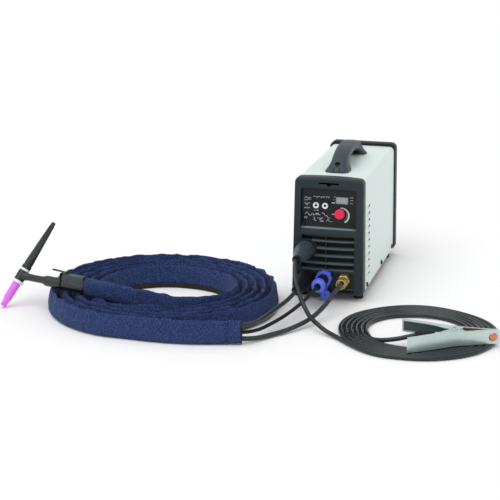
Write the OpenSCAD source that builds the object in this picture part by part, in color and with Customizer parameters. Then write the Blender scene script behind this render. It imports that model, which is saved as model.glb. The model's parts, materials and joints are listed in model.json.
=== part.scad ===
// TIG welding machine: inverter power source, torch in a coiled fabric sleeve, and earth lead with clamp.
// Millimetres. Origin on the floor under the middle of the case. Front faces -Y, +X is right, +Z is up.

/* [Housing] */
// Housing depth, front face to rear edge
case_depth = 350; // [300:5:400]
// Housing width at the base
width_base = 136; // [125:1:150]
// Housing width at the top
width_top = 129; // [120:1:150]
// Height of the housing top above the floor
case_top = 231; // [210:1:250]
// Sheet thickness of cover and tray
sheet = 1.2; // [0.8:0.1:2]
// Foot height
foot_h = 18; // [12:1:22]

/* [Front] */
// Depth of the front bezel
bezel_d = 22; // [18:1:30]
// Front wall thickness of the bezel
bezel_t = 5; // [4:0.5:6]
// Number of grille slats
slats = 4; // [3:1:5]
// Number of louvres on each side
louvres = 11; // [6:1:12]
// Current knob diameter
knob_dia = 18.5; // [16:0.5:22]

/* [Leads] */
// Earth cable diameter
earth_dia = 8; // [7:0.5:9]
// Turns in the earth coil
earth_turns = 7; // [5:1:7]
// Torch power cable diameter
power_dia = 8; // [7:0.5:9]
// Switch cable diameter
switch_dia = 6.4; // [5:0.2:7]
// Gas hose diameter
hose_dia = 8; // [7:0.5:9]
// Sleeve height when it stands on edge
sleeve_h = 42.5; // [38:0.5:48]

/* [Hidden] */
yf = -case_depth / 2;
yr = case_depth / 2;
eps = 0.01;
base_z = foot_h;
bezel_low = 12;
taper = (width_base - width_top) / 2 / (case_top - bezel_low);
function half_w(z) = width_base / 2 - (z - bezel_low) * taper;

// interfaces on the front
socket_x = -40;
earth_z = 98;
torch_z = 39.5;
switch_at = [-4.5, 45];
gas_at = [33, 44];
boss_r = 18.5;
panel_x = 52;
panel_low = 139;
panel_high = 212;
grille_x = 50;
grille_low = 58;
grille_high = 126;
slat_pitch = 14.3;
slat_low = 71.5;
plate_y = yf + bezel_t;
plate_t = 2;
button_x = [-24, -7];
button_z = 180;
button_r = 5.72;
button_hole_r = 5.8;
knob_at = [22, 168];
shaft_r = 3;
bush_bore_r = 3.05;
display_at = [13, 185];
display_size = [23, 13];
cap_at = [-1.5, 13];
cap_r = 9.8;
cap_hinge = [yf - 4.2, 27.4];
board_y = yf + 14;
board_t = 1.6;
socket_flange_r = 17;
socket_nut_r = 15.5;
switch_flange_r = 12.5;
switch_nut_r = 12;

// side screws that hold the cover to the tray
side_screw_y = [-137, 15, 136];
side_screw_z = 25.5;

// rear
rear_t = 1.5;
rear_y = yr - 13;
fan_z = 86;
fan_half = 46;
fan_d = 25;
hub_r = 18;
switch_rear = [-30, 180];
gland_at = [30, 182];
inlet_at = [0, 154];
gland_bore = 5;
inlet_r = 4.5;

// feet
foot_x = 53;
foot_y = 141;
foot_r = 10;
recess_r = 4.5;
recess_d = 5;

// handle, side profile as (y, z)
grip_half = 15;
handle_out = [[-113, 231], [-91, 248], [-71, 258], [-45, 265], [-15, 267.5], [20, 266.5], [50, 260], [72, 249],
    [87, 231]];
handle_in = [[62, 231], [49, 240.5], [25, 247.5], [-5, 250.5], [-30, 248.5], [-50, 241.5], [-66, 231]];
handle_screw = [[-98, 40], [75, -42]];

// torch, placed by the middle of its head
head_at = [-540, -341, 53.6];
head_tilt = [0, 39.5, 53.5];
grip_turn = -16.5;
grip_start = 59;
grip_end = 152;
grip_r = 9.5;
neck_r = 6.5;
head_r = 9.5;
head_half = 10;
lever_pivot = 106;
lever_z = 22.6;
housing_low = 6;
housing_top = 20.5;
housing_half = 6.5;
housing_from = 99;
housing_to = 149;

// sleeve coil and earth coil
sleeve_at = [-279, -283];
sleeve_in = 103;
sleeve_out = 208;
sleeve_t = 16;
coil_at = [190, -318];
coil_out = 144;
coil_pitch = 8.9;
coil_h = earth_dia;
coil_in = coil_out - earth_turns * coil_pitch;

// clamp, placed by its pivot
pivot_at = [262, -371];
clamp_turn = 13.5;
clamp_low = 8.8;
clamp_h = 25;
arm_t = 1.5;
pin_r = 4;
pin_hole_r = 4.06;

// routes of the leads, start to end
boot_len = 74;
boot_y = yf - 6;
boot_end = boot_y - boot_len;
function clamp_pt(u) = [pivot_at[0] + u * cos(clamp_turn), pivot_at[1] + u * sin(clamp_turn),
    clamp_low + clamp_h / 2];
function grip_pt(u) = head_at + u * [cos(grip_turn), sin(grip_turn), 0];
earth_route = [[-40, -215, 98], [-40, -235, 98], [-40, -255, 98], [-40, -265, 96.5], [-38, -277, 89],
    [-33, -294, 73], [-25.5, -304, 57], [-16.5, -313, 42], [-8, -322, 31], [4, -338, 22], [20, -355, 16],
    [38, -368, 9], [61, -383, 4.5], [91, -413, 4], [122, -439, 4], [153, -452, 4], [190, -454.5, 4]];
earth_tail = concat([[110, -357, 4], [122, -378, 4.5], [142, -390, 8], [170, -392, 14]],
    [for (u = [-64, -50, -40, -30]) clamp_pt(u)]);
power_route = [[-40, -213, 39.5], [-40, -234, 39.5], [-40, -255, 39.5], [-42, -266, 38], [-50, -290, 32],
    [-61, -322, 28], [-71, -360, 27.5], [-80, -406, 30], [-88, -438, 33], [-94, -450, 34], [-104, -453, 34]];
switch_route = [[-4.5, -229, 45], [-4.5, -234, 45], [-4.5, -240, 45], [-7, -248, 43.5], [-14.5, -266, 36],
    [-25, -295, 27], [-36.5, -326, 21], [-49, -362, 17], [-66, -408, 16], [-76, -434, 18], [-89, -450, 19.5], [-104, -453, 22]];
hose_route = [[33, -187, 44], [33, -203, 44], [33, -219, 44], [32, -232, 42.5], [29, -250, 39], [20, -282, 27],
    [8, -312, 16], [-5, -337, 10], [-25, -372, 6.5], [-46, -400, 5], [-67, -428, 6], [-88, -450, 10],
    [-104, -453, 10]];

// sleeve stretches outside the coil: centre points
sleeve_mouth_route = [[-90, -452, 22], [-112, -456, 22], [-150, -466, 22], [-190, -474, 22]];
sleeve_torch_route = concat([for (u = [152, 160, 168]) grip_pt(u)],
    [[-352, -392, 56], [-322, -392.5, 53], [-290, -391, 45], [-262, -388.5, 36]]);

// colours
steel = "#b9c2c6";
slate = "#3c484e";
black = "#22272a";
blue = "#4f6fdc";
brass_c = "#c8b070";
copper_c = "#c87860";
white = "#eceff0";
cable_c = "#3f474a";
denim = "#35437a";
board_c = "#1f5a3a";

// ---- placing helpers ----
module along_y(y0, y1) {
    translate([0, y1, 0]) rotate([90, 0, 0]) linear_extrude(y1 - y0) children();
}

module along_x(x0, x1) {
    translate([x0, 0, 0]) rotate([90, 0, 90]) linear_extrude(x1 - x0) children();
}

module rod_y(x, z, r, y0, y1) {
    translate([x, y1, z]) rotate([90, 0, 0]) cylinder(r = r, h = y1 - y0);
}

module cone_y(x, z, r_front, r_back, y0, y1) {
    translate([x, y1, z]) rotate([90, 0, 0]) cylinder(r1 = r_back, r2 = r_front, h = y1 - y0);
}

module box(x0, x1, y0, y1, z0, z1) {
    translate([x0, y0, z0]) cube([x1 - x0, y1 - y0, z1 - z0]);
}

module in_torch() {
    translate(head_at) rotate(head_tilt) children();
}

module along_grip() {
    translate(head_at) rotate([0, 0, grip_turn]) children();
}

module in_clamp() {
    translate([pivot_at[0], pivot_at[1], clamp_low]) rotate([0, 0, clamp_turn]) children();
}

// corner arc points of an outline, from angle a0 to a1
function arc_pts(c, r, a0, a1, n) = [for (i = [0:n])
    c + r * [cos(a0 + (a1 - a0) * i / n), sin(a0 + (a1 - a0) * i / n)]];

// tapered case outline as (x, z), inset evenly, with rounded top and bottom corners
module outline(z0, z1, inset, rt, rb) {
    ct = half_w(z1) - inset - rt;
    cb = half_w(z0) - inset - rb;
    polygon(concat(
        arc_pts([cb, z0 + rb], rb, -90, 0, 4),
        arc_pts([ct, z1 - rt], rt, 0, 90, 6),
        arc_pts([-ct, z1 - rt], rt, 90, 180, 6),
        arc_pts([-cb, z0 + rb], rb, 180, 270, 4)));
}

// ---- swept tubes ----
function unit(v) = v / norm(v);
function spline_at(a, b, c, d, t) = 0.5 * (2 * b + (c - a) * t + (2 * a - 5 * b + 4 * c - d) * t * t
    + (3 * b - a - 3 * c + d) * t * t * t);
function smooth(p, n) = concat([for (i = [0:len(p) - 2]) for (k = [0:n - 1])
    spline_at(p[max(i - 1, 0)], p[i], p[i + 1], p[min(i + 2, len(p) - 1)], k / n)], [p[len(p) - 1]]);
function tangents(p) = [for (i = [0:len(p) - 1]) unit(p[min(i + 1, len(p) - 1)] - p[max(i - 1, 0)])];
function sides(t, s0) = [for (i = 0, s = unit(s0 - (s0 * t[0]) * t[0]); i < len(t);
    i = i + 1, s = i < len(t) ? unit(s - (s * t[i]) * t[i]) : s) s];

// one closed tube along p; ra across and rb along the second axis may vary from ring to ring
module tube(p, ra, rb, n, s0) {
    t = tangents(p);
    s = sides(t, s0);
    m = len(p);
    points = [for (i = [0:m - 1]) for (k = [0:n - 1]) p[i] + s[i] * ra[i] * cos(360 * k / n)
        + cross(t[i], s[i]) * rb[i] * sin(360 * k / n)];
    faces = concat([[for (k = [0:n - 1]) k]], [[for (k = [n - 1:-1:0]) (m - 1) * n + k]],
        [for (i = [0:m - 2]) for (k = [0:n - 1]) [i * n + k, (i + 1) * n + k, i * n + (k + 1) % n]],
        [for (i = [0:m - 2]) for (k = [0:n - 1])
            [i * n + (k + 1) % n, (i + 1) * n + k, (i + 1) * n + (k + 1) % n]]);
    polyhedron(points, faces, convexity = 6);
}

module round_tube(p, r, n, s0) {
    rr = [for (i = p) r];
    tube(p, rr, rr, n, s0);
}

// ---- case ----
module base_tray() {
    color(slate) difference() {
        along_y(yf + bezel_d, rear_y) outline(base_z, 35, sheet + 0.05, 0.5, 1);
        along_y(yf + bezel_d + sheet, rear_y - sheet) outline(base_z + sheet, 40, 2 * sheet + 0.05, 0.5, 1);
        box(-58, 58, yf, yf + bezel_d + 5, base_z + sheet, 40);
        box(-58, 58, rear_y - 5, yr, base_z + sheet, 40);
        for (sx = [-1, 1]) for (sy = [-1, 1])
            translate([sx * foot_x, sy * foot_y, base_z - 1]) cylinder(r = 2.2, h = 4);
        for (y = side_screw_y) for (sx = [-1, 1]) cover_side_hole(sx, y);
    }
}

louvre_y0 = yf + 25;
louvre_y1 = yf + 70;
louvre_low = 40;
louvre_pitch = 13;
cover_low = 19;

module cover_side_hole(sx, y) {
    translate([sx * 60, y, side_screw_z]) rotate([0, 90, 0]) translate([0, 0, -12]) cylinder(r = 1.6, h = 24);
}

// a louvre is pressed into the side: a groove that deepens towards the rear and ends in a vented step
louvre_half = 3.2;
louvre_deep = 3.3;

module louvre_groove(s, z) {
    translate([s * half_w(z), 0, z - louvre_half]) linear_extrude(2 * louvre_half)
        polygon([[s, louvre_y0 + 4], [0, louvre_y0 + 4], [-louvre_deep * s, louvre_y1], [s, louvre_y1]]);
}

module louvre_skin(s, z) {
    back = louvre_deep + sheet;
    translate([s * half_w(z), 0, z - louvre_half - sheet]) linear_extrude(2 * (louvre_half + sheet))
        polygon([[-0.3 * s, louvre_y0], [-back * s, louvre_y1], [-back * s, louvre_y1 + sheet],
            [-0.3 * s, louvre_y1 + sheet]]);
}

module louvre_vent(s, z) {
    translate([s * (half_w(z) - 2.2), louvre_y1 + sheet / 2, z]) cube([1.4, 3 * sheet, 3.2], center = true);
}

module case_cover() {
    color(white) {
        difference() {
            along_y(yf + bezel_d, yr - 20) outline(cover_low - 3, case_top - 2, 0, 9, 1);
            along_y(yf + bezel_d - 1, yr - 19) outline(cover_low - 4, case_top - 2 - sheet, sheet, 8, 1);
            box(-80, 80, yf, yr, 0, cover_low);
            for (y = side_screw_y) for (sx = [-1, 1]) cover_side_hole(sx, y);
            for (h = handle_screw) translate([0, h[0], case_top - 10]) cylinder(r = 2.2, h = 20);
            for (s = [-1, 1]) for (k = [0:louvres - 1]) louvre_groove(s, louvre_low + k * louvre_pitch);
        }
        for (s = [-1, 1]) for (k = [0:louvres - 1]) difference() {
            louvre_skin(s, louvre_low + k * louvre_pitch);
            louvre_groove(s, louvre_low + k * louvre_pitch);
            louvre_vent(s, louvre_low + k * louvre_pitch);
        }
    }
}

module front_bezel() {
    color(slate) {
        difference() {
            along_y(yf, yf + bezel_d) outline(bezel_low, case_top, 0, 9, 8);
            difference() {
                along_y(yf + bezel_t, yf + bezel_d + 1) outline(bezel_low + 3, case_top - 3, 3, 6, 5);
                rod_y(socket_x, earth_z, boss_r, yf, yf + 12);
            }
            box(-panel_x, panel_x, yf - 1, yf + 6, panel_low, panel_high);
            along_x(-panel_x, panel_x) polygon([[yf - 1, grille_high + 2], [plate_y + eps, panel_low + 0.5],
                [plate_y + eps, panel_low + 3], [yf - 1, panel_low + 3]]);
            difference() {
                box(-grille_x, grille_x, yf - 1, yf + 6, grille_low, grille_high);
                rod_y(socket_x, earth_z, boss_r, yf - 2, yf + 12);
            }
            box(-grille_x, grille_x, yf - 1, yf + 2, 16, 54);
            rod_y(socket_x, earth_z, 13, yf - 1, yf + 14);
            rod_y(socket_x, torch_z, 13, yf - 1, yf + 14);
            rod_y(switch_at[0], switch_at[1], 9, yf - 1, yf + 14);
            rod_y(switch_at[0], switch_at[1], switch_flange_r + 0.05, yf - 1, yf + 2);
            rod_y(socket_x, torch_z, socket_flange_r + 0.05, yf - 1, yf + 2);
            rod_y(gas_at[0], gas_at[1], 6.6, yf - 1, yf + 14);
            box(18, 50, yf - 1, yf + 7, 18.5, 24);
            box(-19, 19, yf - 1, yf + 7, 221, 224);
            rod_y(0, 221, 4, yf - 1, yf + 7);
        }
    }
}

module front_grille() {
    fy = plate_y;
    color(slate) difference() {
        union() {
            difference() {
                box(-54, 54, fy, fy + 10, grille_low - 3, grille_high + 4);
                box(-grille_x, grille_x, fy - 1, fy + 11, grille_low, grille_high);
            }
            for (k = [0:slats - 1])
                box(-grille_x - 1, grille_x + 1, fy - 2, fy + 10, slat_low + k * slat_pitch - 1.5,
                    slat_low + k * slat_pitch + 1.5);
            box(-5.2, -2.8, fy - 1, fy + 9, grille_low - 1, grille_high + 1);
        }
        rod_y(socket_x, earth_z, boss_r + 0.05, yf - 2, fy + 11);
        rod_y(switch_at[0], switch_at[1], switch_nut_r + 0.1, fy - 1, fy + 11);
        rod_y(socket_x, torch_z, socket_nut_r + 0.1, fy - 1, fy + 11);
        for (s = [-1, 1]) translate([s * 52, 0, 0])
            box(-2, 2, fy - 5, fy, grille_low - 4, grille_high + 6);
    }
}

module rear_bezel() {
    color(black) difference() {
        along_y(yr - 22, yr) outline(15, case_top + 3.5, -3, 11, 7);
        along_y(yr - 23, yr - 20) outline(16.5, case_top - 1.9, -0.05, 9, 1);
        along_y(yr - 21, rear_y) outline(17.95, case_top - 3.4, sheet + 0.05, 8, 0.5);
        along_y(rear_y - 1, yr + 1) outline(22, case_top - 9, 7, 8, 5);
        along_y(rear_y - 0.5, rear_y + rear_t + 0.05) outline(17.95, case_top - 3.4, sheet + 0.05, 8, 0.5);
    }
}

module rear_panel() {
    color(black) difference() {
        along_y(rear_y, rear_y + rear_t) outline(18, case_top - 3.5, sheet + 0.1, 8, 3);
        rod_y(0, fan_z, fan_half - 2, rear_y - 1, yr);
        for (sx = [-1, 1]) for (sz = [-1, 1])
            rod_y(sx * 41, fan_z + sz * 41, 2.2, rear_y - 1, yr);
        box(switch_rear[0] - 6.6, switch_rear[0] + 6.6, rear_y - 1, yr, switch_rear[1] - 9.6, switch_rear[1] + 9.6);
        rod_y(gland_at[0], gland_at[1], 8.1, rear_y - 1, yr);
        rod_y(inlet_at[0], inlet_at[1], 5.1, rear_y - 1, yr);
    }
}

module feet() {
    color(black) for (sx = [-1, 1]) for (sy = [-1, 1]) translate([sx * foot_x, sy * foot_y, 0]) difference() {
        cylinder(r = foot_r, h = foot_h);
        translate([0, 0, -eps]) cylinder(r = recess_r, h = recess_d + eps);
        translate([0, 0, 1]) cylinder(r = 4, h = 10);
        cylinder(r = 2.1, h = foot_h + 1);
    }
}

// pan-head screw pointing down its own -Z, head on top of z = 0
module screw(head_r, r, length) {
    difference() {
        union() {
            cylinder(r = head_r, h = 2.4);
            translate([0, 0, -length]) cylinder(r = r, h = length + 1);
        }
        translate([0, 0, 2.4]) for (a = [0, 90]) rotate(a) cube([head_r * 1.3, 1, 2], center = true);
    }
}

module screws() {
    color(black) {
        for (sx = [-1, 1]) for (sy = [-1, 1])
            translate([sx * foot_x, sy * foot_y, 11]) rotate([180, 0, 0]) screw(3.9, 2, 11);
        for (y = side_screw_y) for (s = [-1, 1])
            translate([s * (half_w(side_screw_z) + 0.05), y, side_screw_z])
                rotate([0, s * (90 - atan(taper)), 0]) screw(4.4, 1.5, 6);
        for (h = handle_screw) translate([0, h[0], case_top + 9.5]) screw(4.2, 2.1, 14);
        for (sx = [-1, 1]) for (sz = [-1, 1]) translate([sx * 41, rear_y + rear_t + 2.4, fan_z + sz * 41])
            rotate([-90, 0, 0]) screw(3.4, 2, 30);
        for (sx = [-1, 1]) translate([sx * 47, plate_y, panel_low + 3.5]) rotate([90, 0, 0]) screw(2.6, 1.4, 6);
    }
}

// ---- handle ----
module handle() {
    color(slate) difference() {
        intersection() {
            along_x(-24, 24) polygon(concat(handle_out, handle_in));
            along_y(-120, 100) polygon([[-23, 228], [23, 228], [23, 232], [18, 240], [grip_half, 250],
                [grip_half, 275], [-grip_half, 275], [-grip_half, 250], [-18, 240], [-23, 232]]);
        }
        box(-30, 30, -130, 110, 220, case_top - 2);
        for (h = handle_screw) {
            translate([0, h[0], case_top - 5]) cylinder(r = 2.25, h = 20);
            translate([0, h[0], case_top + 9.5]) cylinder(r = 5, h = 30);
        }
    }
}

// ---- front controls ----
module control_panel() {
    color(black) difference() {
        box(-55, 55, plate_y, plate_y + plate_t, panel_low - 3, panel_high + 3);
        for (x = button_x) rod_y(x, button_z, button_hole_r, yf, yf + 12);
        rod_y(knob_at[0], knob_at[1], 3.6, yf, yf + 12);
        box(display_at[0], display_at[0] + display_size[0], yf, yf + 12, display_at[1],
            display_at[1] + display_size[1]);
        for (sx = [-1, 1]) rod_y(sx * 47, panel_low + 3.5, 1.5, yf, yf + 12);
    }
}

module display_window() {
    color("#8c989b") box(display_at[0], display_at[0] + display_size[0], plate_y - 0.6, plate_y + 2.4,
        display_at[1], display_at[1] + display_size[1]);
}

module control_board() {
    color(board_c) {
        difference() {
            box(-52, 52, board_y, board_y + board_t, panel_low - 1, panel_high);
            for (sx = [-1, 1]) rod_y(sx * 47, panel_low + 3.5, 1.6, board_y - 1, board_y + 3);
        }
        for (x = button_x) box(x - 3, x + 3, yf + 9.6, board_y, button_z - 3, button_z + 3);
        box(display_at[0] - 1, display_at[0] + 24, plate_y + 2.4, board_y, display_at[1] - 2, display_at[1] + 15);
        box(-46, -20, board_y - 3, board_y, 150, 162);
        for (sx = [-1, 1]) difference() {
            rod_y(sx * 47, panel_low + 3.5, 3, plate_y + plate_t, board_y);
            rod_y(sx * 47, panel_low + 3.5, 1.4, plate_y, board_y + 1);
        }
    }
}

module encoder_body() {
    color(steel) difference() {
        union() {
            box(knob_at[0] - 6, knob_at[0] + 6, plate_y + plate_t, board_y, knob_at[1] - 6, knob_at[1] + 6);
            rod_y(knob_at[0], knob_at[1], 3.5, plate_y - 3, plate_y + plate_t + 1);
        }
        rod_y(knob_at[0], knob_at[1], bush_bore_r, plate_y - 5, board_y - 1);
    }
}

module current_knob() {
    color("#e02858") {
        difference() {
            union() {
                rod_y(knob_at[0], knob_at[1], knob_dia / 2, yf - 7, yf + 0.5);
                cone_y(knob_at[0], knob_at[1], knob_dia / 2 - 1.2, knob_dia / 2, yf - 8.2, yf - 7);
            }
            rod_y(knob_at[0], knob_at[1], shaft_r, yf - 4, yf + 4);
            box(knob_at[0] - 0.6, knob_at[0] + 0.6, yf - 9, yf - 7.6, knob_at[1] + 3, knob_at[1] + 10);
        }
        rod_y(knob_at[0], knob_at[1], shaft_r, yf - 4, board_y - 1.5);
    }
}

module push_button(x) {
    color(white) difference() {
        union() {
            rod_y(x, button_z, button_r, yf + 3.2, yf + 7.6);
            rod_y(x, button_z, 7.2, yf + 7.3, yf + 8.5);
        }
        rod_y(x, button_z, 2.4, yf + 3, yf + 3.8);
    }
}

module mode_button() {
    push_button(button_x[0]);
}

module select_button() {
    push_button(button_x[1]);
}

// ---- front sockets ----
module weld_sockets() {
    for (z = [earth_z, torch_z]) {
        front = z == earth_z ? yf : yf + 2;
        color(black) difference() {
            union() {
                rod_y(socket_x, z, socket_flange_r, front - 6, front);
                rod_y(socket_x, z, 12.95, front - 1, yf + 40);
                rod_y(socket_x, z, socket_nut_r, yf + 12, yf + 18);
            }
            rod_y(socket_x, z, 10, front - 7, yf + 41);
        }
        color(brass_c) difference() {
            rod_y(socket_x, z, 10, front - 4, yf + 48);
            rod_y(socket_x, z, 6.5, front - 5, yf + 32);
        }
    }
}

module switch_socket() {
    x = switch_at[0];
    z = switch_at[1];
    color(blue) difference() {
        union() {
            rod_y(x, z, switch_flange_r, yf - 2, yf + 2);
            rod_y(x, z, 10, yf - 12, yf);
            rod_y(x, z, 8.9, yf, yf + 16);
            rod_y(x, z, switch_nut_r, yf + bezel_t, yf + 8);
            box(cap_at[0] - 3.6, cap_at[0] + 3.6, yf - 2, yf + 2, cap_hinge[1] - 1.4, 35);
            for (x0 = [cap_at[0] - 3.6, cap_at[0] + 1.9])
                box(x0, x0 + 1.7, yf - 5.5, yf, cap_hinge[1] - 1.4, cap_hinge[1] + 1.3);
        }
        rod_y(x, z, 7.5, yf - 13, yf + 10);
    }
    color(blue) translate([cap_at[0] - 3.4, cap_hinge[0], cap_hinge[1]])
        rotate([0, 90, 0]) cylinder(r = 0.9, h = 6.8);
    color(brass_c) for (a = [0:72:288])
        rod_y(x + 4 * cos(a), z + 4 * sin(a), 0.8, yf - 4, yf + 20);
}

module dust_cap() {
    color(blue) difference() {
        union() {
            rod_y(cap_at[0], cap_at[1], cap_r, yf - 10, yf - 3);
            box(cap_at[0] - 1.6, cap_at[0] + 1.6, yf - 5.2, yf - 3.2, cap_at[1] + 7, cap_hinge[1]);
            translate([cap_at[0] - 1.6, cap_hinge[0], cap_hinge[1]]) rotate([0, 90, 0]) cylinder(r = 1.3, h = 3.2);
        }
        rod_y(cap_at[0], cap_at[1], cap_r - 1.6, yf - 11, yf - 5.2);
        translate([cap_at[0] - 15, cap_hinge[0], cap_hinge[1]]) rotate([0, 90, 0]) cylinder(r = 0.95, h = 30);
    }
}

module gas_outlet() {
    x = gas_at[0];
    z = gas_at[1];
    color(brass_c) difference() {
        union() {
            rod_y(x, z, 6.55, yf - 12, yf + 26);
            translate([x, yf + 2, z]) rotate([90, 0, 0]) cylinder(r = 11, h = 4, $fn = 6);
            translate([x, yf + 9, z]) rotate([90, 0, 0]) cylinder(r = 10, h = 4, $fn = 6);
            rod_y(x, z, 3.6, yf + 25, yf + 40);
        }
        rod_y(x, z, 2, yf - 13, yf + 41);
    }
}

// ---- rear ----
module fan_frame() {
    fy = rear_y - fan_d;
    color(black) {
        difference() {
            box(-fan_half, fan_half, fy, rear_y, fan_z - fan_half, fan_z + fan_half);
            rod_y(0, fan_z, fan_half - 2, fy - 1, rear_y + 1);
            for (sx = [-1, 1]) for (sz = [-1, 1]) rod_y(sx * 41, fan_z + sz * 41, 2.05, fy - 1, rear_y + 1);
        }
        difference() {
            union() {
                rod_y(0, fan_z, 17, rear_y - 4, rear_y - 0.4);
                for (a = [45:90:315]) translate([0, rear_y - 3.4, fan_z]) rotate([0, a, 0]) translate([12, 0, -2])
                    cube([37, 2.6, 4]);
            }
            rod_y(0, fan_z, 2.05, rear_y - 6, rear_y + 1);
        }
    }
}

module fan_rotor() {
    fy = rear_y - fan_d;
    color("#2c3134") {
        difference() {
            rod_y(0, fan_z, hub_r, fy + 2, rear_y - 5.5);
            rod_y(0, fan_z, hub_r - 2, fy + 4, rear_y - 4);
        }
        rod_y(0, fan_z, 2, fy + 3, rear_y - 1);
        for (a = [0:360 / 7:359]) translate([0, 0, fan_z]) rotate([0, a, 0])
            translate([hub_r - 1, (fy + rear_y) / 2 - 2.4, 0]) rotate([32, 0, 0]) translate([0, -11, -0.9])
                cube([23.5, 21, 1.8]);
    }
}

module fan_guard() {
    color(black) {
        for (r = [12, 23, 34, 44]) difference() {
            rod_y(0, fan_z, r + 1, rear_y + rear_t, rear_y + rear_t + 2);
            rod_y(0, fan_z, r - 1, rear_y, yr);
        }
        for (a = [45:90:315]) translate([0, rear_y + rear_t, fan_z]) rotate([0, a, 0]) difference() {
            translate([10, 0, -1.2]) cube([51.5, 2.4, 2.4]);
            translate([57.98, -1, 0]) rotate([-90, 0, 0]) cylinder(r = 2.1, h = 6);
        }
    }
}

module power_switch() {
    x = switch_rear[0];
    z = switch_rear[1];
    ry = rear_y + rear_t;
    color(black) difference() {
        union() {
            box(x - 8.5, x + 8.5, ry, ry + 2, z - 11.5, z + 11.5);
            box(x - 6.5, x + 6.5, ry - 18, ry + 1, z - 9.5, z + 9.5);
        }
        box(x - 4.6, x + 4.6, ry - 10, ry + 3, z - 7.6, z + 7.6);
        translate([x - 6, ry - 3, z]) rotate([0, 90, 0]) cylinder(r = 1.05, h = 12);
    }
    color(brass_c) for (s = [-1, 1]) box(x + s * 3 - 0.4, x + s * 3 + 0.4, ry - 26, ry - 18, z - 3, z + 3);
}

module power_rocker() {
    x = switch_rear[0];
    z = switch_rear[1];
    ry = rear_y + rear_t;
    color("#b02c2c") {
        along_x(x - 4.2, x + 4.2) polygon([[ry - 6, z - 3], [ry - 6, z + 3], [ry + 1.4, z + 6.2], [ry + 1.4, z + 1],
            [ry + 3.2, z - 7]]);
        translate([x - 5.9, ry - 3, z]) rotate([0, 90, 0]) cylinder(r = 1, h = 11.8);
    }
}

module mains_gland() {
    x = gland_at[0];
    z = gland_at[1];
    ry = rear_y + rear_t;
    color(black) difference() {
        union() {
            translate([x, ry + 5, z]) rotate([90, 0, 0]) cylinder(r = 13, h = 5, $fn = 6);
            rod_y(x, z, 8, rear_y - 12, ry + 1);
            translate([x, rear_y, z]) rotate([90, 0, 0]) cylinder(r = 12, h = 4, $fn = 6);
            cone_y(x, z, 10.5, 8.5, ry + 5, ry + 14);
        }
        rod_y(x, z, gland_bore, rear_y - 13, ry + 20);
    }
}

module gas_inlet() {
    x = inlet_at[0];
    z = inlet_at[1];
    ry = rear_y + rear_t;
    color(brass_c) difference() {
        union() {
            rod_y(x, z, 5, rear_y - 9, ry + 4);
            translate([x, ry + 4, z]) rotate([90, 0, 0]) cylinder(r = 9, h = 4, $fn = 6);
            rod_y(x, z, inlet_r, ry + 3, ry + 20);
            cone_y(x, z, inlet_r, 3.8, ry + 20, ry + 23);
        }
        rod_y(x, z, 2.5, rear_y - 20, yr + 30);
    }
}

// ---- inside ----
module gas_valve() {
    x = inlet_at[0];
    z = inlet_at[1];
    color(brass_c) difference() {
        box(x - 11, x + 9, rear_y - 26, rear_y - 9, z - 9, z + 9);
        rod_y(x, z, 2.5, rear_y - 20, rear_y);
    }
    color(black) translate([x, rear_y - 17.5, z + 9]) cylinder(r = 9, h = 26);
    color(brass_c) translate([x - 20, rear_y - 17.5, z]) rotate([0, 90, 0]) cylinder(r = 3.6, h = 10);
}

valve_y = rear_y - 17.5;
tube_route = [[-20, valve_y, 154], [-30, valve_y, 154], [-46, 132, 148], [-55, 100, 120], [-56, 60, 70],
    [-56, 20, 40], [-56, -40, 30], [-48, -84, 26], [-20, -104, 26], [8, -114, 28], [27, -122, 40], [33, -130, 44], [33, -135, 44]];
module gas_tube() {
    color("#3a4a58") round_tube(smooth(tube_route, 2), 3.6, 8, [0, 0, 1]);
}

module main_board() {
    color(board_c) {
        box(-46, 46, -116, 112, 44, 45.6);
        box(18, 44, -100, -74, 45.6, 60);
        box(-44, -30, 84, 106, 45.6, 66);
    }
    color(steel) for (sx = [-1, 1]) for (y = [-108, 104])
        translate([sx * 42, y, base_z + sheet]) cylinder(r = 3, h = 44 - base_z - sheet);
}

module heat_sinks() {
    color("#c9ced1") for (sx = [-1, 1]) translate([sx * 26, 0, 0]) along_y(-60, 40) union() {
        translate([-18, 45.6]) square([36, 5]);
        for (k = [0:6]) translate([-18 + k * 5.7, 50]) square([1.8, 34]);
    }
}

module capacitors() {
    color("#29323c") for (x = [-30, 0, 30]) difference() {
        translate([x, 64, 45.6]) cylinder(r = 14, h = 45);
        translate([x, 64, 45.6 + 44]) cylinder(r = 11, h = 2);
    }
}

module main_transformer() {
    color("#30363a") difference() {
        box(-32, 32, -46, 6, 100, 146);
        box(-20, -9, -47, 7, 108, 138);
        box(9, 20, -47, 7, 108, 138);
    }
    color(copper_c) difference() {
        box(-19.5, 19.5, -52, 12, 108.5, 137.5);
        box(-9, 9, -46, 6, 108, 138);
        box(-30, 30, -46.01, 6.01, 100, 108.5);
    }
    color(steel) for (sx = [-1, 1]) box(sx * 26 - 4, sx * 26 + 4, -24, -16, 84, 100);
}

module output_choke() {
    color(copper_c) translate([8, 62, 100]) difference() {
        cylinder(r = 30, h = 28);
        translate([0, 0, -1]) cylinder(r = 12, h = 30);
    }
    color("#30363a") translate([8, 62, 90.6]) cylinder(r = 20, h = 9.4);
}

module arc_coil() {
    color("#d8d2c0") box(-28, 8, -112, -92, 45.6, 52);
    color(copper_c) translate([-11, -102, 52]) difference() {
        cylinder(r = 9, h = 26);
        translate([0, 0, 4]) cylinder(r = 5, h = 30);
    }
}

module bus_bars() {
    color(copper_c) {
        box(-39, -29, yf + 48, yf + 50, 32, 60);
        box(-39, -29, yf + 48, -110, 58, 60);
        box(-39, -29, -112, -110, 45.6, 60);
        box(-39, -29, yf + 48, yf + 50, 88, 104);
        box(-39, -29, yf + 50, -60, 102, 104);
        box(-39, -29, -62, -60, 84, 104);
    }
}

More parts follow.
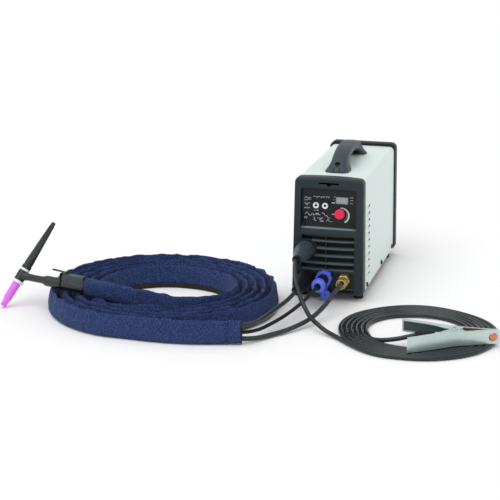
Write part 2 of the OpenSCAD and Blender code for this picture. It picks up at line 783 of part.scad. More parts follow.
// ---- plugs ----
module plug_pins() {
    color(brass_c) for (z = [earth_z, torch_z]) {
        back = z == earth_z ? yf - 4 : yf - 2;
        rod_y(socket_x, z, 6.5, back - 36, yf + 30);
        rod_y(socket_x, z, 9.5, back - 36, back);
    }
}

module boot(z, front, r0, r1, cable_r) {
    color(slate) difference() {
        union() {
            rod_y(socket_x, z, r0, front - 22, front);
            cone_y(socket_x, z, r1, r0, boot_end + 8, front - 22);
            rod_y(socket_x, z, r1, boot_end, boot_end + 8);
            for (a = [0:30:330]) translate([socket_x, front - 22, z]) rotate([0, a, 0])
                translate([r0 - 0.6, 0, -1.2]) cube([1.8, 20, 2.4]);
        }
        rod_y(socket_x, z, 9.5, front - 34, front + 1);
        rod_y(socket_x, z, cable_r, boot_end - 1, front - 30);
    }
}

module earth_boot() {
    boot(earth_z, yf - 6, 16.5, 8, earth_dia / 2);
}

module torch_boot() {
    boot(torch_z, yf - 4, 16.5, 9, power_dia / 2);
}

module switch_plug() {
    x = switch_at[0];
    z = switch_at[1];
    color(black) difference() {
        union() {
            rod_y(x, z, 7.4, yf - 26, yf - 4);
            rod_y(x, z, 10.2, yf - 51, yf - 15);
        }
        for (a = [0:72:288]) rod_y(x + 4 * cos(a), z + 4 * sin(a), 0.85, yf - 5, yf - 3);
    }
    color(blue) difference() {
        union() {
            rod_y(x, z, 12.8, yf - 61, yf - 48);
            cone_y(x, z, 9.5, 12.8, yf - 64, yf - 61);
        }
        rod_y(x, z, 10.2, yf - 51, yf - 47);
        rod_y(x, z, switch_dia / 2, yf - 65, yf - 54);
    }
}

module switch_ring() {
    x = switch_at[0];
    z = switch_at[1];
    color(blue) difference() {
        union() {
            rod_y(x, z, 14, yf - 14.6, yf - 2.4);
            for (a = [0:45:315]) rod_y(x + 13.4 * cos(a), z + 13.4 * sin(a), 1.6, yf - 14.6, yf - 2.4);
        }
        rod_y(x, z, 10.06, yf - 16, yf - 1);
    }
}

module gas_nut() {
    x = gas_at[0];
    z = gas_at[1];
    color(brass_c) difference() {
        union() {
            translate([x, yf - 3, z]) rotate([90, 0, 0]) cylinder(r = 11.5, h = 12, $fn = 6);
            rod_y(x, z, 9.5, yf - 37, yf - 14);
        }
        rod_y(x, z, 6.6, yf - 13, yf - 2);
        rod_y(x, z, 7.4, yf - 38, yf - 30);
        rod_y(x, z, 4.06, yf - 31, yf - 12);
    }
}

// ---- torch leads ----
module torch_lead_tubes() {
    color(cable_c) {
        round_tube(power_route, power_dia / 2, 8, [1, 0, 0]);
        round_tube(switch_route, switch_dia / 2, 8, [1, 0, 0]);
        round_tube(hose_route, hose_dia / 2, 8, [1, 0, 0]);
    }
}

module sleeve_ends() {
    mouth = smooth(sleeve_mouth_route, 2);
    torch = smooth(sleeve_torch_route, 2);
    m = len(torch) - 1;
    color(denim) {
        tube(mouth, [for (p = mouth) sleeve_t / 2], [for (p = mouth) sleeve_h / 2], 12, [0, 1, 0]);
        tube(torch, [for (i = [0:m]) 10 - 2 * i / m], [for (i = [0:m]) 13 + 7 * i / m], 12, [0, 1, 0]);
    }
}

module sleeve_coil() {
    color(denim) translate([sleeve_at[0], sleeve_at[1], 0]) rotate_extrude()
        translate([sleeve_in, 0]) square([sleeve_out - sleeve_in, sleeve_h]);
}

// ---- torch ----
module torch_head() {
    color(black) difference() {
        union() {
            in_torch() translate([0, 0, -head_half]) cylinder(r = head_r, h = 2 * head_half);
            along_grip() translate([4, 0, 0]) rotate([0, 90, 0]) cylinder(r = neck_r, h = 66 - 4);
        }
        in_torch() translate([0, 0, -head_half - 1]) cylinder(r = 5.5, h = 2 * head_half + 2);
    }
}

module torch_gaskets() {
    color(white) in_torch() {
        difference() {
            translate([0, 0, head_half]) cylinder(r = 9.2, h = 4.5);
            translate([0, 0, head_half - 1]) cylinder(r = 5.5, h = 7);
        }
        difference() {
            translate([0, 0, -head_half - 5.5]) cylinder(r = 10.8, h = 5.5);
            translate([0, 0, -head_half - 7]) cylinder(r = 5.5, h = 8);
        }
    }
}

module back_cap() {
    color(black) in_torch() difference() {
        union() {
            translate([0, 0, head_half + 4.6]) cylinder(r = 8.6, h = 8);
            translate([0, 0, head_half + 12.6]) cylinder(r1 = 8.2, r2 = 4.2, h = 88);
            translate([0, 0, head_half + 100.6]) cylinder(r1 = 4.2, r2 = 3.8, h = 5);
            translate([0, 0, 4]) cylinder(r = 5.4, h = 12);
        }
        translate([0, 0, 3]) cylinder(r = 2.4, h = 96);
    }
}

module ceramic_nozzle() {
    top = -head_half - 5.5;
    color("#f0a0e8") in_torch() difference() {
        union() {
            translate([0, 0, top - 33]) cylinder(r = 7.8, h = 33);
            translate([0, 0, top - 38]) cylinder(r1 = 5.8, r2 = 7.8, h = 5);
            translate([0, 0, top - 49]) cylinder(r = 5.7, h = 11.5);
        }
        translate([0, 0, top - 20]) cylinder(r = 5.45, h = 21);
        translate([0, 0, top - 50]) cylinder(r = 4.4, h = 60);
    }
}

module collet() {
    color(brass_c) in_torch() difference() {
        translate([0, 0, -head_half - 24]) cylinder(r = 5.4, h = 36);
        translate([0, 0, -head_half - 25]) cylinder(r = 1.6, h = 40);
        translate([0, 0, 3]) cylinder(r = 5.6, h = 20);
    }
}

module tungsten() {
    color(steel) in_torch() {
        translate([0, 0, -58]) cylinder(r = 1.2, h = 150);
        translate([0, 0, -63]) cylinder(r1 = 0.2, r2 = 1.2, h = 5);
    }
}

module torch_handle() {
    color(black) along_grip() rotate([0, 90, 0]) difference() {
        union() {
            translate([0, 0, grip_start]) cylinder(r = grip_r, h = grip_end - grip_start);
            translate([0, 0, grip_start - 5]) cylinder(r1 = 7.4, r2 = 8.8, h = 5);
        }
        translate([0, 0, grip_start - 6]) cylinder(r = neck_r, h = 66 - grip_start + 6);
        translate([0, 0, 66 - eps]) cylinder(r = 6, h = 100);
    }
}

module trigger_housing() {
    color(slate) along_grip() {
        difference() {
            union() {
                translate([housing_from, -housing_half, 0])
                    cube([housing_to - housing_from, 2 * housing_half, housing_top]);
                for (s = [-1, 1]) translate([lever_pivot - 2.5, s * (housing_half - 0.75) - 0.75, housing_top - 1])
                    cube([5, 1.5, 5]);
                translate([lever_pivot - 5, 0, housing_top - 1]) cylinder(r = 1, h = 1.6);
                for (s = [housing_from - 2.5, housing_to]) translate([s, 0, 0]) difference() {
                    rotate([90, 0, 90]) linear_extrude(2.5) union() {
                        circle(r = 11);
                        translate([-housing_half - 1.3, 0]) square([2 * housing_half + 2.6, housing_top + 1.3]);
                    }
                }
            }
            rotate([0, 90, 0]) translate([0, 0, grip_start - 8]) cylinder(r = grip_r, h = 120);
            translate([lever_pivot, 20, lever_z]) rotate([90, 0, 0]) cylinder(r = 1, h = 40);
        }
    }
}

module trigger_lever() {
    color(black) along_grip() {
        translate([lever_pivot, housing_half - 0.1, lever_z]) rotate([90, 0, 0])
            cylinder(r = 0.95, h = 2 * housing_half - 0.2);
        translate([lever_pivot, housing_half - 1.9, lever_z]) rotate([90, 0, 0])
            cylinder(r = 1.7, h = 2 * housing_half - 3.8);
        translate([lever_pivot, 0, lever_z]) rotate([0, 2, 0]) translate([-28, -3, 0]) cube([28, 6, 1.4]);
        translate([lever_pivot, 0, lever_z]) rotate([0, 2, 0]) translate([-28, 0, 0]) cylinder(r = 3.4, h = 1.4);
    }
}

// ---- earth lead ----
module earth_lead_tubes() {
    color(cable_c) {
        round_tube(earth_route, earth_dia / 2, 8, [1, 0, 0]);
        round_tube(smooth(earth_tail, 2), earth_dia / 2, 8, [1, 0, 0]);
    }
}

module earth_coil() {
    color(cable_c) translate([coil_at[0], coil_at[1], 0]) rotate_extrude()
        translate([coil_in, 0]) square([coil_out - coil_in, coil_h]);
}

// ---- clamp ----
arm_out = [[75, 5], [52, 8], [22, 15], [0, 20], [-28, 33], [-60, 47], [-84, 56]];
arm_in = [[-84, 54.4], [-60, 45.4], [-28, 31.4], [0, 18.4], [22, 13.4], [52, 6.4], [75, 3.4]];
function flip(p) = [for (q = p) [q[0], -q[1]]];

// flange outline: from inside the web towards the other arm, with an ear round the pivot
flange = [[74.5, 4.2], [52, 7.2], [22, 14.2], [0, 19.2], [-28, 32.2], [-60, 46.2], [-83.5, 55.1], [-83.5, 47],
    [-60, 37], [-28, 20], [-17, 8], [-11, -4], [0, -9], [9, -6], [14, 3], [17, 12.2], [30, 9.8], [52, 4.4],
    [74.5, 1.6]];

module arm(m, low, high) {
    web = concat(arm_out, arm_in);
    difference() {
        union() {
            translate([0, 0, low]) linear_extrude(high - low) polygon(m > 0 ? web : flip(web));
            for (z = [low, high - arm_t]) translate([0, 0, z]) linear_extrude(arm_t)
                polygon(m > 0 ? flange : flip(flange));
        }
        translate([0, 0, low - 1]) cylinder(r = m > 0 ? pin_hole_r : pin_r, h = high - low + 2);
    }
}

// copper jaw lining with the head of its rivet
module jaw(m, mid) {
    translate([0, 0, mid - 8]) linear_extrude(16)
        polygon([[74, m * 0.4], [74, m * 4], [52, m * 7], [38, m * 10.3], [36, m * 7.6], [52, m * 4]]);
    translate([64, m * 5.4, mid]) rotate([m > 0 ? -90 : 90, 0, m * -7]) cylinder(r = 7.5, h = 2.2);
}

// crimped lug that holds the end of the earth cable
module cable_lug() {
    mid = clamp_h / 2;
    difference() {
        union() {
            translate([-40, 0, mid]) rotate([0, 90, 0]) cylinder(r = 5.5, h = 18);
            translate([0, 0, mid - 1.5]) linear_extrude(3)
                polygon([[-34, -3], [-24, -3], [-14, -25.6], [-24, -30.3]]);
        }
        translate([-41, 0, mid]) rotate([0, 90, 0]) cylinder(r = earth_dia / 2, h = 11);
    }
}

module clamp_fixed_arm() {
    in_clamp() {
        color(steel) arm(-1, 0, clamp_h);
        color(steel) cable_lug();
        color(copper_c) jaw(-1, clamp_h / 2);
    }
}

module clamp_moving_arm() {
    in_clamp() {
        color(steel) arm(1, arm_t + 0.4, clamp_h - arm_t - 0.4);
        color(copper_c) jaw(1, clamp_h / 2);
    }
}

module clamp_pin() {
    in_clamp() color(steel) {
        difference() {
            translate([0, 0, -0.6]) cylinder(r = pin_r, h = clamp_h + 1.2);
            translate([0, 0, -2]) cylinder(r = 2, h = clamp_h + 4);
        }
        for (z = [-0.8, clamp_h]) translate([0, 0, z]) difference() {
            cylinder(r = 5.6, h = 0.8);
            translate([0, 0, -1]) cylinder(r = 2, h = 4);
        }
    }
}

spring_turns = 4;
spring_pts = [for (i = [0:12 * spring_turns])
    [6.4 * cos(i * 30), 6.4 * sin(i * 30), 4.8 + i * 15.2 / (12 * spring_turns)]];
module clamp_spring() {
    in_clamp() color(steel) round_tube(spring_pts, 1.3, 6, [1, 0, 0]);
}

base_tray();
case_cover();
front_bezel();
front_grille();
rear_bezel();
rear_panel();
control_panel();
display_window();
control_board();
encoder_body();
current_knob();
mode_button();
select_button();
handle();
screws();
feet();
weld_sockets();
switch_socket();
dust_cap();
gas_outlet();
fan_frame();
fan_rotor();
fan_guard();
power_switch();
power_rocker();
mains_gland();
gas_inlet();
gas_valve();
gas_tube();
main_board();
heat_sinks();
capacitors();
main_transformer();
output_choke();
arc_coil();
bus_bars();
plug_pins();
torch_boot();
earth_boot();
switch_plug();
switch_ring();
gas_nut();
torch_lead_tubes();
sleeve_ends();
sleeve_coil();
torch_handle();
torch_head();
back_cap();
torch_gaskets();
ceramic_nozzle();
collet();
tungsten();
trigger_housing();
trigger_lever();
earth_lead_tubes();
earth_coil();
clamp_fixed_arm();
clamp_moving_arm();
clamp_pin();
clamp_spring();
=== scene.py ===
# Looks of the TIG welding machine: case, torch in its coiled sleeve, and earth lead with clamp.
# Shapes are written in millimetres and become metres in build().
import json
import math

import bmesh
import bpy
import numpy as np
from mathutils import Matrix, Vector, noise


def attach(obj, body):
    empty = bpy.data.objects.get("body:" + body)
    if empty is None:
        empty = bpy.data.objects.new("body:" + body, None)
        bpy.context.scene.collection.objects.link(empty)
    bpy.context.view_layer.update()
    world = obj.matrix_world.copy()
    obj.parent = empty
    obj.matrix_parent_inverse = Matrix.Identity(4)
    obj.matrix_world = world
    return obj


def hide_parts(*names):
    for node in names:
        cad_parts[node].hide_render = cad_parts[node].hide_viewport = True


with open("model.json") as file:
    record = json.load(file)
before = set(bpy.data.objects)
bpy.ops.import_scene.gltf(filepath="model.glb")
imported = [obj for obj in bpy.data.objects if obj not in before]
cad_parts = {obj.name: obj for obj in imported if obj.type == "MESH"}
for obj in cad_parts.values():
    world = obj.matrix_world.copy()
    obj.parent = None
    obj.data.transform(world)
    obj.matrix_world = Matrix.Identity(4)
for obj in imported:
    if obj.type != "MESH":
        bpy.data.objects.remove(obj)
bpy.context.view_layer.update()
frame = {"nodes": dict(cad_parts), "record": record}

MM = 0.001
SLOT = {p["node"]: p["material_slot"] for p in frame["record"]["subparts"]}
BODY = {n: b for b, nodes in frame["record"]["behaviour"]["bodies"].items() for n in nodes}
X, Y, Z = np.eye(3)


# ---- materials ----
def srgb(colour):
    return [((c / 255 + 0.055) / 1.055) ** 2.4 for c in colour] + [1.0]


def fill(node, **values):
    for name, value in values.items():
        node.inputs[name.replace("_", " ")].default_value = value


def add(tree, kind, **values):
    made = tree.nodes.new("ShaderNode" + kind)
    fill(made, **values)
    return made


def wire(tree, source, output, target, entry):
    tree.links.new(source.outputs[output], target.inputs[entry])


def material(name, colour, rough, metal=0.0, vary=0.1, scale=60.0, bump=0.0, grain=1200.0, coat=0.0,
             gloss=0.5):
    """Paint, plastic, rubber or metal with slow changes of colour and gloss, and a fine relief."""
    m = bpy.data.materials.new(name)
    m.use_nodes = True
    tree = m.node_tree
    shader = tree.nodes["Principled BSDF"]
    fill(shader, Metallic=metal, Coat_Weight=coat, Specular_IOR_Level=gloss)
    where = add(tree, "TexCoord")
    cloud = add(tree, "TexNoise", Scale=scale, Detail=5.0)
    wire(tree, where, "Object", cloud, "Vector")
    ramp = add(tree, "ValToRGB")
    base = srgb(colour)[:3]
    for i, (at, k) in enumerate(((0.3, 1 - vary), (0.7, 1 + vary))):
        ramp.color_ramp.elements[i].position = at
        ramp.color_ramp.elements[i].color = [min(1.0, c * k) for c in base] + [1.0]
    wire(tree, cloud, "Fac", ramp, "Fac")
    wire(tree, ramp, "Color", shader, "Base Color")
    spread = add(tree, "MapRange", From_Min=0.3, From_Max=0.7, To_Min=rough * 0.88,
                 To_Max=min(1.0, rough * 1.12))
    wire(tree, cloud, "Fac", spread, "Value")
    wire(tree, spread, "Result", shader, "Roughness")
    if bump:
        fine = add(tree, "TexNoise", Scale=grain, Detail=2.0)
        wire(tree, where, "Object", fine, "Vector")
        relief = add(tree, "Bump", Strength=bump, Distance=0.0003)
        wire(tree, fine, "Fac", relief, "Height")
        wire(tree, relief, "Normal", shader, "Normal")
    return m


def woven(name, dark, mid, light, speckle, twill, rough):
    """Cloth or braid: threads run slantwise along the piece's own UV, speckled with lighter fibres."""
    m = material(name, mid, rough)
    tree = m.node_tree
    shader = tree.nodes["Principled BSDF"]
    fill(shader, Sheen_Weight=0.05, Specular_IOR_Level=0.2)
    where = add(tree, "TexCoord")
    turn = add(tree, "Mapping", Rotation=(0, 0, math.radians(52)))
    wire(tree, where, "UV", turn, "Vector")
    wave = add(tree, "TexWave", Scale=twill, Distortion=1.2, Detail=2.0)
    wire(tree, turn, "Vector", wave, "Vector")
    fleck = add(tree, "TexNoise", Scale=speckle, Detail=6.0, Roughness=0.75)
    wire(tree, where, "Object", fleck, "Vector")
    blend = add(tree, "Mix", Factor=0.22)
    wire(tree, fleck, "Fac", blend, "A")
    wire(tree, wave, "Fac", blend, "B")
    ramp = add(tree, "ValToRGB")
    ramp.color_ramp.elements.new(0.5)
    for i, (at, c) in enumerate(((0.36, dark), (0.5, mid), (0.66, light))):
        ramp.color_ramp.elements[i].position = at
        ramp.color_ramp.elements[i].color = srgb(c)
    wire(tree, blend, "Result", ramp, "Fac")
    wire(tree, ramp, "Color", shader, "Base Color")
    relief = add(tree, "Bump", Strength=0.35, Distance=0.0004)
    wire(tree, wave, "Fac", relief, "Height")
    wire(tree, relief, "Normal", shader, "Normal")
    return m


LOOK = {}


def slot_look(name, *values, **words):
    LOOK[name] = material(name, *values, **words)


slot_look("tray_steel", (30, 34, 36), 0.45, bump=0.1, gloss=0.3)
slot_look("cover_white", (224, 236, 233), 0.42, vary=0.015, bump=0.08, grain=900, gloss=0.4)
slot_look("bezel_slate", (38, 48, 54), 0.46, vary=0.05, bump=0.12, gloss=0.3)
slot_look("handle_slate", (54, 65, 74), 0.44, vary=0.05, bump=0.12, gloss=0.35)
slot_look("rear_black", (20, 23, 25), 0.5, bump=0.12, gloss=0.3)
slot_look("panel_black", (20, 23, 28), 0.36, vary=0.06, gloss=0.3)
slot_look("display_grey", (128, 140, 143), 0.22, coat=0.5, vary=0.05)
slot_look("board_green", (22, 88, 52), 0.45)
slot_look("plated_steel", (205, 210, 214), 0.24, metal=1.0)
slot_look("knob_red", (238, 28, 78), 0.42, vary=0.04, bump=0.08)
slot_look("button_white", (236, 238, 240), 0.38, vary=0.03)
slot_look("screw_black", (20, 20, 21), 0.4, bump=0.05)
slot_look("foot_rubber", (22, 24, 26), 0.8, bump=0.3)
slot_look("socket_black", (20, 23, 25), 0.42, bump=0.1, gloss=0.35)
slot_look("connector_blue", (92, 116, 244), 0.36, vary=0.05, bump=0.05)
slot_look("brass", (222, 200, 132), 0.36, metal=0.9, vary=0.1, scale=150)
slot_look("fan_black", (26, 27, 29), 0.5, bump=0.1)
slot_look("guard_steel", (26, 27, 28), 0.4, bump=0.05)
slot_look("rocker_red", (170, 32, 32), 0.3)
slot_look("tube_blue", (44, 76, 150), 0.4)
slot_look("sink_aluminium", (215, 218, 220), 0.36, metal=1.0)
slot_look("capacitor_black", (38, 44, 58), 0.4)
slot_look("ferrite", (50, 50, 52), 0.7, bump=0.3)
slot_look("winding", (178, 108, 70), 0.36, metal=0.7)
slot_look("copper", (216, 130, 106), 0.32, metal=0.85, vary=0.12, scale=200)
slot_look("boot_rubber", (58, 70, 81), 0.42, bump=0.12, gloss=0.45)
slot_look("plug_black", (22, 24, 26), 0.5, bump=0.15, gloss=0.35)
slot_look("cable_rubber", (22, 30, 35), 0.26, vary=0.06, bump=0.04, gloss=0.55)
LOOK["denim"] = woven("denim", (6, 9, 26), (26, 42, 88), (80, 104, 164), 500.0, 300.0, 0.85)
slot_look("torch_black", (27, 31, 34), 0.34, bump=0.2, gloss=0.6)
slot_look("gasket_white", (236, 240, 234), 0.4, vary=0.03)
slot_look("nozzle_pink", (230, 116, 240), 0.5, vary=0.04, bump=0.12)
slot_look("electrode", (150, 152, 156), 0.35, metal=1.0)
slot_look("trigger_grey", (52, 60, 65), 0.4, bump=0.2, gloss=0.5)
slot_look("clamp_plated", (196, 216, 212), 0.36, metal=0.6, vary=0.06, scale=120)
PRINT = material("panel_print", (205, 212, 214), 0.5, vary=0.05)
GHOST = material("display_ghost", (176, 188, 190), 0.3, vary=0.04)
# The ledge strip's lighter grey is a painted highlight for light falling on its upward slope.
LEDGE_HIGHLIGHT = material("ledge_painted_highlight", (112, 127, 132), 0.42, vary=0.04, bump=0.1, gloss=0.35)
GRILLE = material("grille_slate", (80, 95, 101), 0.42, vary=0.05, bump=0.1, gloss=0.35)
# Black for rubber and plastic parts; the same material is also painted shade in the vents, the cap hole, the
# handle well and behind the grille.
DARK = material("dark_rubber_and_painted_shade", (13, 14, 15), 0.55, bump=0.1, gloss=0.3)
STITCH = material("hem_thread", (14, 15, 22), 0.8)
BRAID = woven("hose_braid", (10, 11, 12), (24, 28, 30), (112, 120, 123), 700.0, 420.0, 0.6)
SHADE = material("channel_shade", (62, 76, 78), 0.5, vary=0.1)
BAND = material("black_webbing", (20, 21, 26), 0.75, bump=0.3, grain=500)


# ---- mesh building ----
def unit(v):
    v = np.asarray(v, float)
    return v / np.linalg.norm(v)


def smooth(points, n):
    p = np.asarray(points, float)
    out = []
    for i in range(len(p) - 1):
        a, b, c, d = p[max(i - 1, 0)], p[i], p[i + 1], p[min(i + 2, len(p) - 1)]
        for t in np.arange(n) / n:
            out.append(0.5 * (2 * b + (c - a) * t + (2 * a - 5 * b + 4 * c - d) * t * t
                              + (3 * b - a - 3 * c + d) * t ** 3))
    return np.array(out + [p[-1]])


def along(path):
    return np.r_[0, np.cumsum(np.linalg.norm(np.diff(path, axis=0), axis=1))]


def resample(path, step):
    d = along(path)
    s = np.linspace(0, d[-1], max(2, int(round(d[-1] / step)) + 1))
    return np.stack([np.interp(s, d, path[:, k]) for k in range(path.shape[1])], 1)


def loft(rings, loop=False, hole=False):
    n, m = len(rings[0]), len(rings)
    faces = []
    for i in range(m if loop else m - 1):
        a, b = i * n, (i + 1) % m * n
        faces += [(a + k, a + (k + 1) % n, b + (k + 1) % n, b + k) for k in range(n)]
    if not (loop or hole):
        faces += [tuple(range(n)), tuple((m - 1) * n + k for k in range(n))]
    return np.concatenate(rings), faces


def round_off(profile, r=0.8):
    p = np.asarray(profile, float)
    out = [p[0]]
    for a, b, c in zip(p, p[1:], p[2:]):
        la, lc = np.linalg.norm(a - b), np.linalg.norm(c - b)
        k = min(r, la / 2.2, lc / 2.2)
        p0, p1 = b + (a - b) / la * k, b + (c - b) / lc * k
        out += [p0, (p0 + 2 * b + p1) / 4, p1]
    return np.array(out + [p[-1]])


def fine(profile, step):
    p = np.asarray(profile, float)
    out = [p[0]]
    for a, b in zip(p, p[1:]):
        n = max(1, int(math.ceil(np.linalg.norm(b - a) / step)))
        out += [a + (b - a) * k / n for k in range(1, n + 1)]
    return np.array(out)


def turned(profile, at, axis, n=48, shape=None, loop=False):
    """A turned piece: profile holds (distance along the axis, radius), which shape(t, angle, r) may alter."""
    axis = unit(axis)
    side = unit(np.cross(axis, Z if abs(axis[2]) < 0.9 else X))
    third = np.cross(axis, side)
    a = np.arange(n) * 2 * math.pi / n
    ring = np.cos(a)[:, None] * side + np.sin(a)[:, None] * third
    rings = []
    for t, r in profile:
        rr = np.array([shape(t, x, r) for x in a]) if shape else np.full(n, r)
        rings.append(np.asarray(at, float) + t * axis + rr[:, None] * ring)
    return loft(rings, loop)


def sweep(path, radius, n=12, wave=None):
    """A round cord along path; wave(distance, angle) may alter its radius."""
    path = np.asarray(path, float)
    t = np.gradient(path, axis=0)
    t /= np.linalg.norm(t, axis=1)[:, None]
    s = unit(np.cross(t[0], Z if abs(t[0][2]) < 0.9 else X))
    d, a, rings = along(path), np.arange(n) * 2 * math.pi / n, []
    for i in range(len(path)):
        s = unit(s - t[i] * np.dot(t[i], s))
        r = np.array([radius + wave(d[i], x) for x in a]) if wave else np.full(n, radius)
        rings.append(path[i] + r[:, None] * (np.cos(a)[:, None] * s + np.sin(a)[:, None] * np.cross(t[i], s)))
    return loft(rings)


def prism(poly, at, axis_a, axis_b, axis_c, c0, c1):
    """A plate: poly in the (a, b) plane from c0 to c1 along the third axis."""
    p = np.asarray(poly, float)
    flat = np.asarray(at, float) + p[:, :1] * axis_a + p[:, 1:] * axis_b
    return loft([flat + c0 * axis_c, flat + c1 * axis_c])


def front(poly, y0, y1):
    return prism(poly, (0, 0, 0), X, Z, Y, y0, y1)


def rounded(x0, x1, z0, z1, r, low=0.0, high=0.0, n=5):
    """Rounded rectangle whose lower and upper edges sag by low and high in the middle."""
    pts = []
    right, left, low_z, high_z = x1 - r, x0 + r, z0 + r, z1 - r
    for cx, cz, a0 in ((right, low_z, -90), (right, high_z, 0), (left, high_z, 90), (left, low_z, 180)):
        for k in range(n + 1):
            a = math.radians(a0 + 90 * k / n)
            pts.append([cx + r * math.cos(a), cz + r * math.sin(a)])
        if a0 == 0:
            pts += [[x, z1] for x in np.linspace(x1 - r, x0 + r, 12)[1:-1]]
        if a0 == 180:
            pts += [[x, z0] for x in np.linspace(x0 + r, x1 - r, 12)[1:-1]]
    mid, half = (x0 + x1) / 2, (x1 - x0) / 2
    for p in pts:
        sag = low if p[1] < (z0 + z1) / 2 else high
        p[1] -= sag * (1 - ((p[0] - mid) / half) ** 2)
    return pts


def build(name, *solids):
    verts, faces, base = [], [], 0
    for v, f in solids:
        verts.append(np.asarray(v, float))
        faces += [[i + base for i in q] for q in f]
        base += len(v)
    mesh = bpy.data.meshes.new(name)
    mesh.from_pydata((np.concatenate(verts) * MM).tolist(), [], faces)
    b = bmesh.new()
    b.from_mesh(mesh)
    bmesh.ops.recalc_face_normals(b, faces=b.faces)
    b.to_mesh(mesh)
    b.free()
    ob = bpy.data.objects.new(name, mesh)
    bpy.context.scene.collection.objects.link(ob)
    return ob


def settle(ob):
    bpy.context.view_layer.update()
    made = bpy.data.meshes.new_from_object(ob.evaluated_get(bpy.context.evaluated_depsgraph_get()))
    ob.modifiers.clear()
    ob.data = made
    return ob


def carve(ob, *groups):
    """Cuts each group of solids out of ob."""
    tools = []
    for group in groups:
        tool = build("cutter", *group)
        cut = ob.modifiers.new("cut", "BOOLEAN")
        cut.operation, cut.solver, cut.object = "DIFFERENCE", "EXACT", tool
        tools.append(tool)
    settle(ob)
    for tool in tools:
        bpy.data.objects.remove(tool)
    return ob


def soften(ob, width, segments=2, angle=35):
    edge = ob.modifiers.new("edge", "BEVEL")
    edge.width, edge.segments, edge.limit_method = width * MM, segments, "ANGLE"
    edge.angle_limit = math.radians(angle)
    edge.use_clamp_overlap = True
    return settle(ob)


def place(ob, slot, body="machine", nodes=(), look=None, sharp=40):
    ob.data.materials.clear()
    ob.data.materials.append(look or LOOK[slot])
    ob.data.shade_smooth()
    ob.data.set_sharp_from_angle(angle=math.radians(sharp))
    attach(ob, body)
    if nodes:
        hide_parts(*nodes)
    return ob


def bore(at, r, t0, t1, axis=Y, n=48):
    """A round rod to cut with."""
    return turned([(t0, r), (t1, r)], at, axis, n)


def lathe(name, slot, profile, at, axis, n=48, r=0, step=0, shape=None, loop=False, **words):
    """One turned piece, built and placed; r rounds its profile, and step divides it."""
    if r:
        profile = round_off(profile, r)
    if step:
        profile = fine(profile, step)
    return place(build(name, turned(profile, at, axis, n, shape, loop)), slot, **words)


def refined(node, width=0.4):
    """The CAD piece with small rounded edges."""
    ob = bpy.data.objects.new(node + "_look", frame["nodes"][node].data.copy())
    bpy.context.scene.collection.objects.link(ob)
    b = bmesh.new()
    b.from_mesh(ob.data)
    bmesh.ops.remove_doubles(b, verts=b.verts, dist=1e-6)
    bmesh.ops.dissolve_limit(b, angle_limit=math.radians(1.5), verts=b.verts, edges=b.edges)
    b.to_mesh(ob.data)
    b.free()
    soften(ob, width, 2, 40)
    return place(ob, SLOT[node], BODY[node], (node,))


def wobble(p, scale, seed=0.0):
    return noise.noise(Vector((p[0] / scale + seed, p[1] / scale, (p[2] if len(p) > 2 else 0) / scale)))


# ---- case ----
YF = -175.0
SOCKET_X, EARTH_Z, TORCH_Z = -40.0, 98.0, 39.5
EARTH_AT, TORCH_AT = (SOCKET_X, 0, EARTH_Z), (SOCKET_X, 0, TORCH_Z)
SWITCH_AT, GAS_AT, CAP_AT = (-4.5, 0, 45), (33, 0, 44), (-1.5, 0, 13)
BOSS_R = 18.5
SCREW_Y = (-137, 15, 136)
HANDLE_SCREW_Y = (-98, 75)
ORIGIN = (0, 0, 0)
AHEAD, RECESS = -177, -169.5


def half_w(z):
    return 68 - (z - 12) * 3.5 / 219


def outline(z0, z1, inset, rt, rb, bow=0.0):
    """Case cross-section as (x, z) from the right foot over the top to the left foot."""
    pts = []
    for s in (1, -1):
        side = []
        cb, ct = half_w(z0) - inset - rb, half_w(z1) - inset - rt
        low, high = np.radians(np.linspace(0, 90, 6)), np.radians(np.linspace(0, 90, 9))
        side += [[cb + rb * math.sin(a), z0 + rb - rb * math.cos(a)] for a in low]
        side += [[ct + rt * math.cos(a), z1 - rt + rt * math.sin(a)] for a in high]
        side += [[x, z1] for x in np.linspace(ct, 0, 8)[1:-1]]
        pts += [[s * x, z] for x, z in (side if s > 0 else side[::-1])]
        if s > 0:
            pts.append([0, z1])
    for p in pts:
        lift = min(1, max(0, (p[1] - (z1 - rt)) / rt))
        p[1] += bow * lift * (1 - (p[0] / half_w(z1)) ** 2)
    return np.array(pts)


def at_y(poly, y):
    return np.stack([poly[:, 0], np.full(len(poly), float(y)), poly[:, 1]], 1)


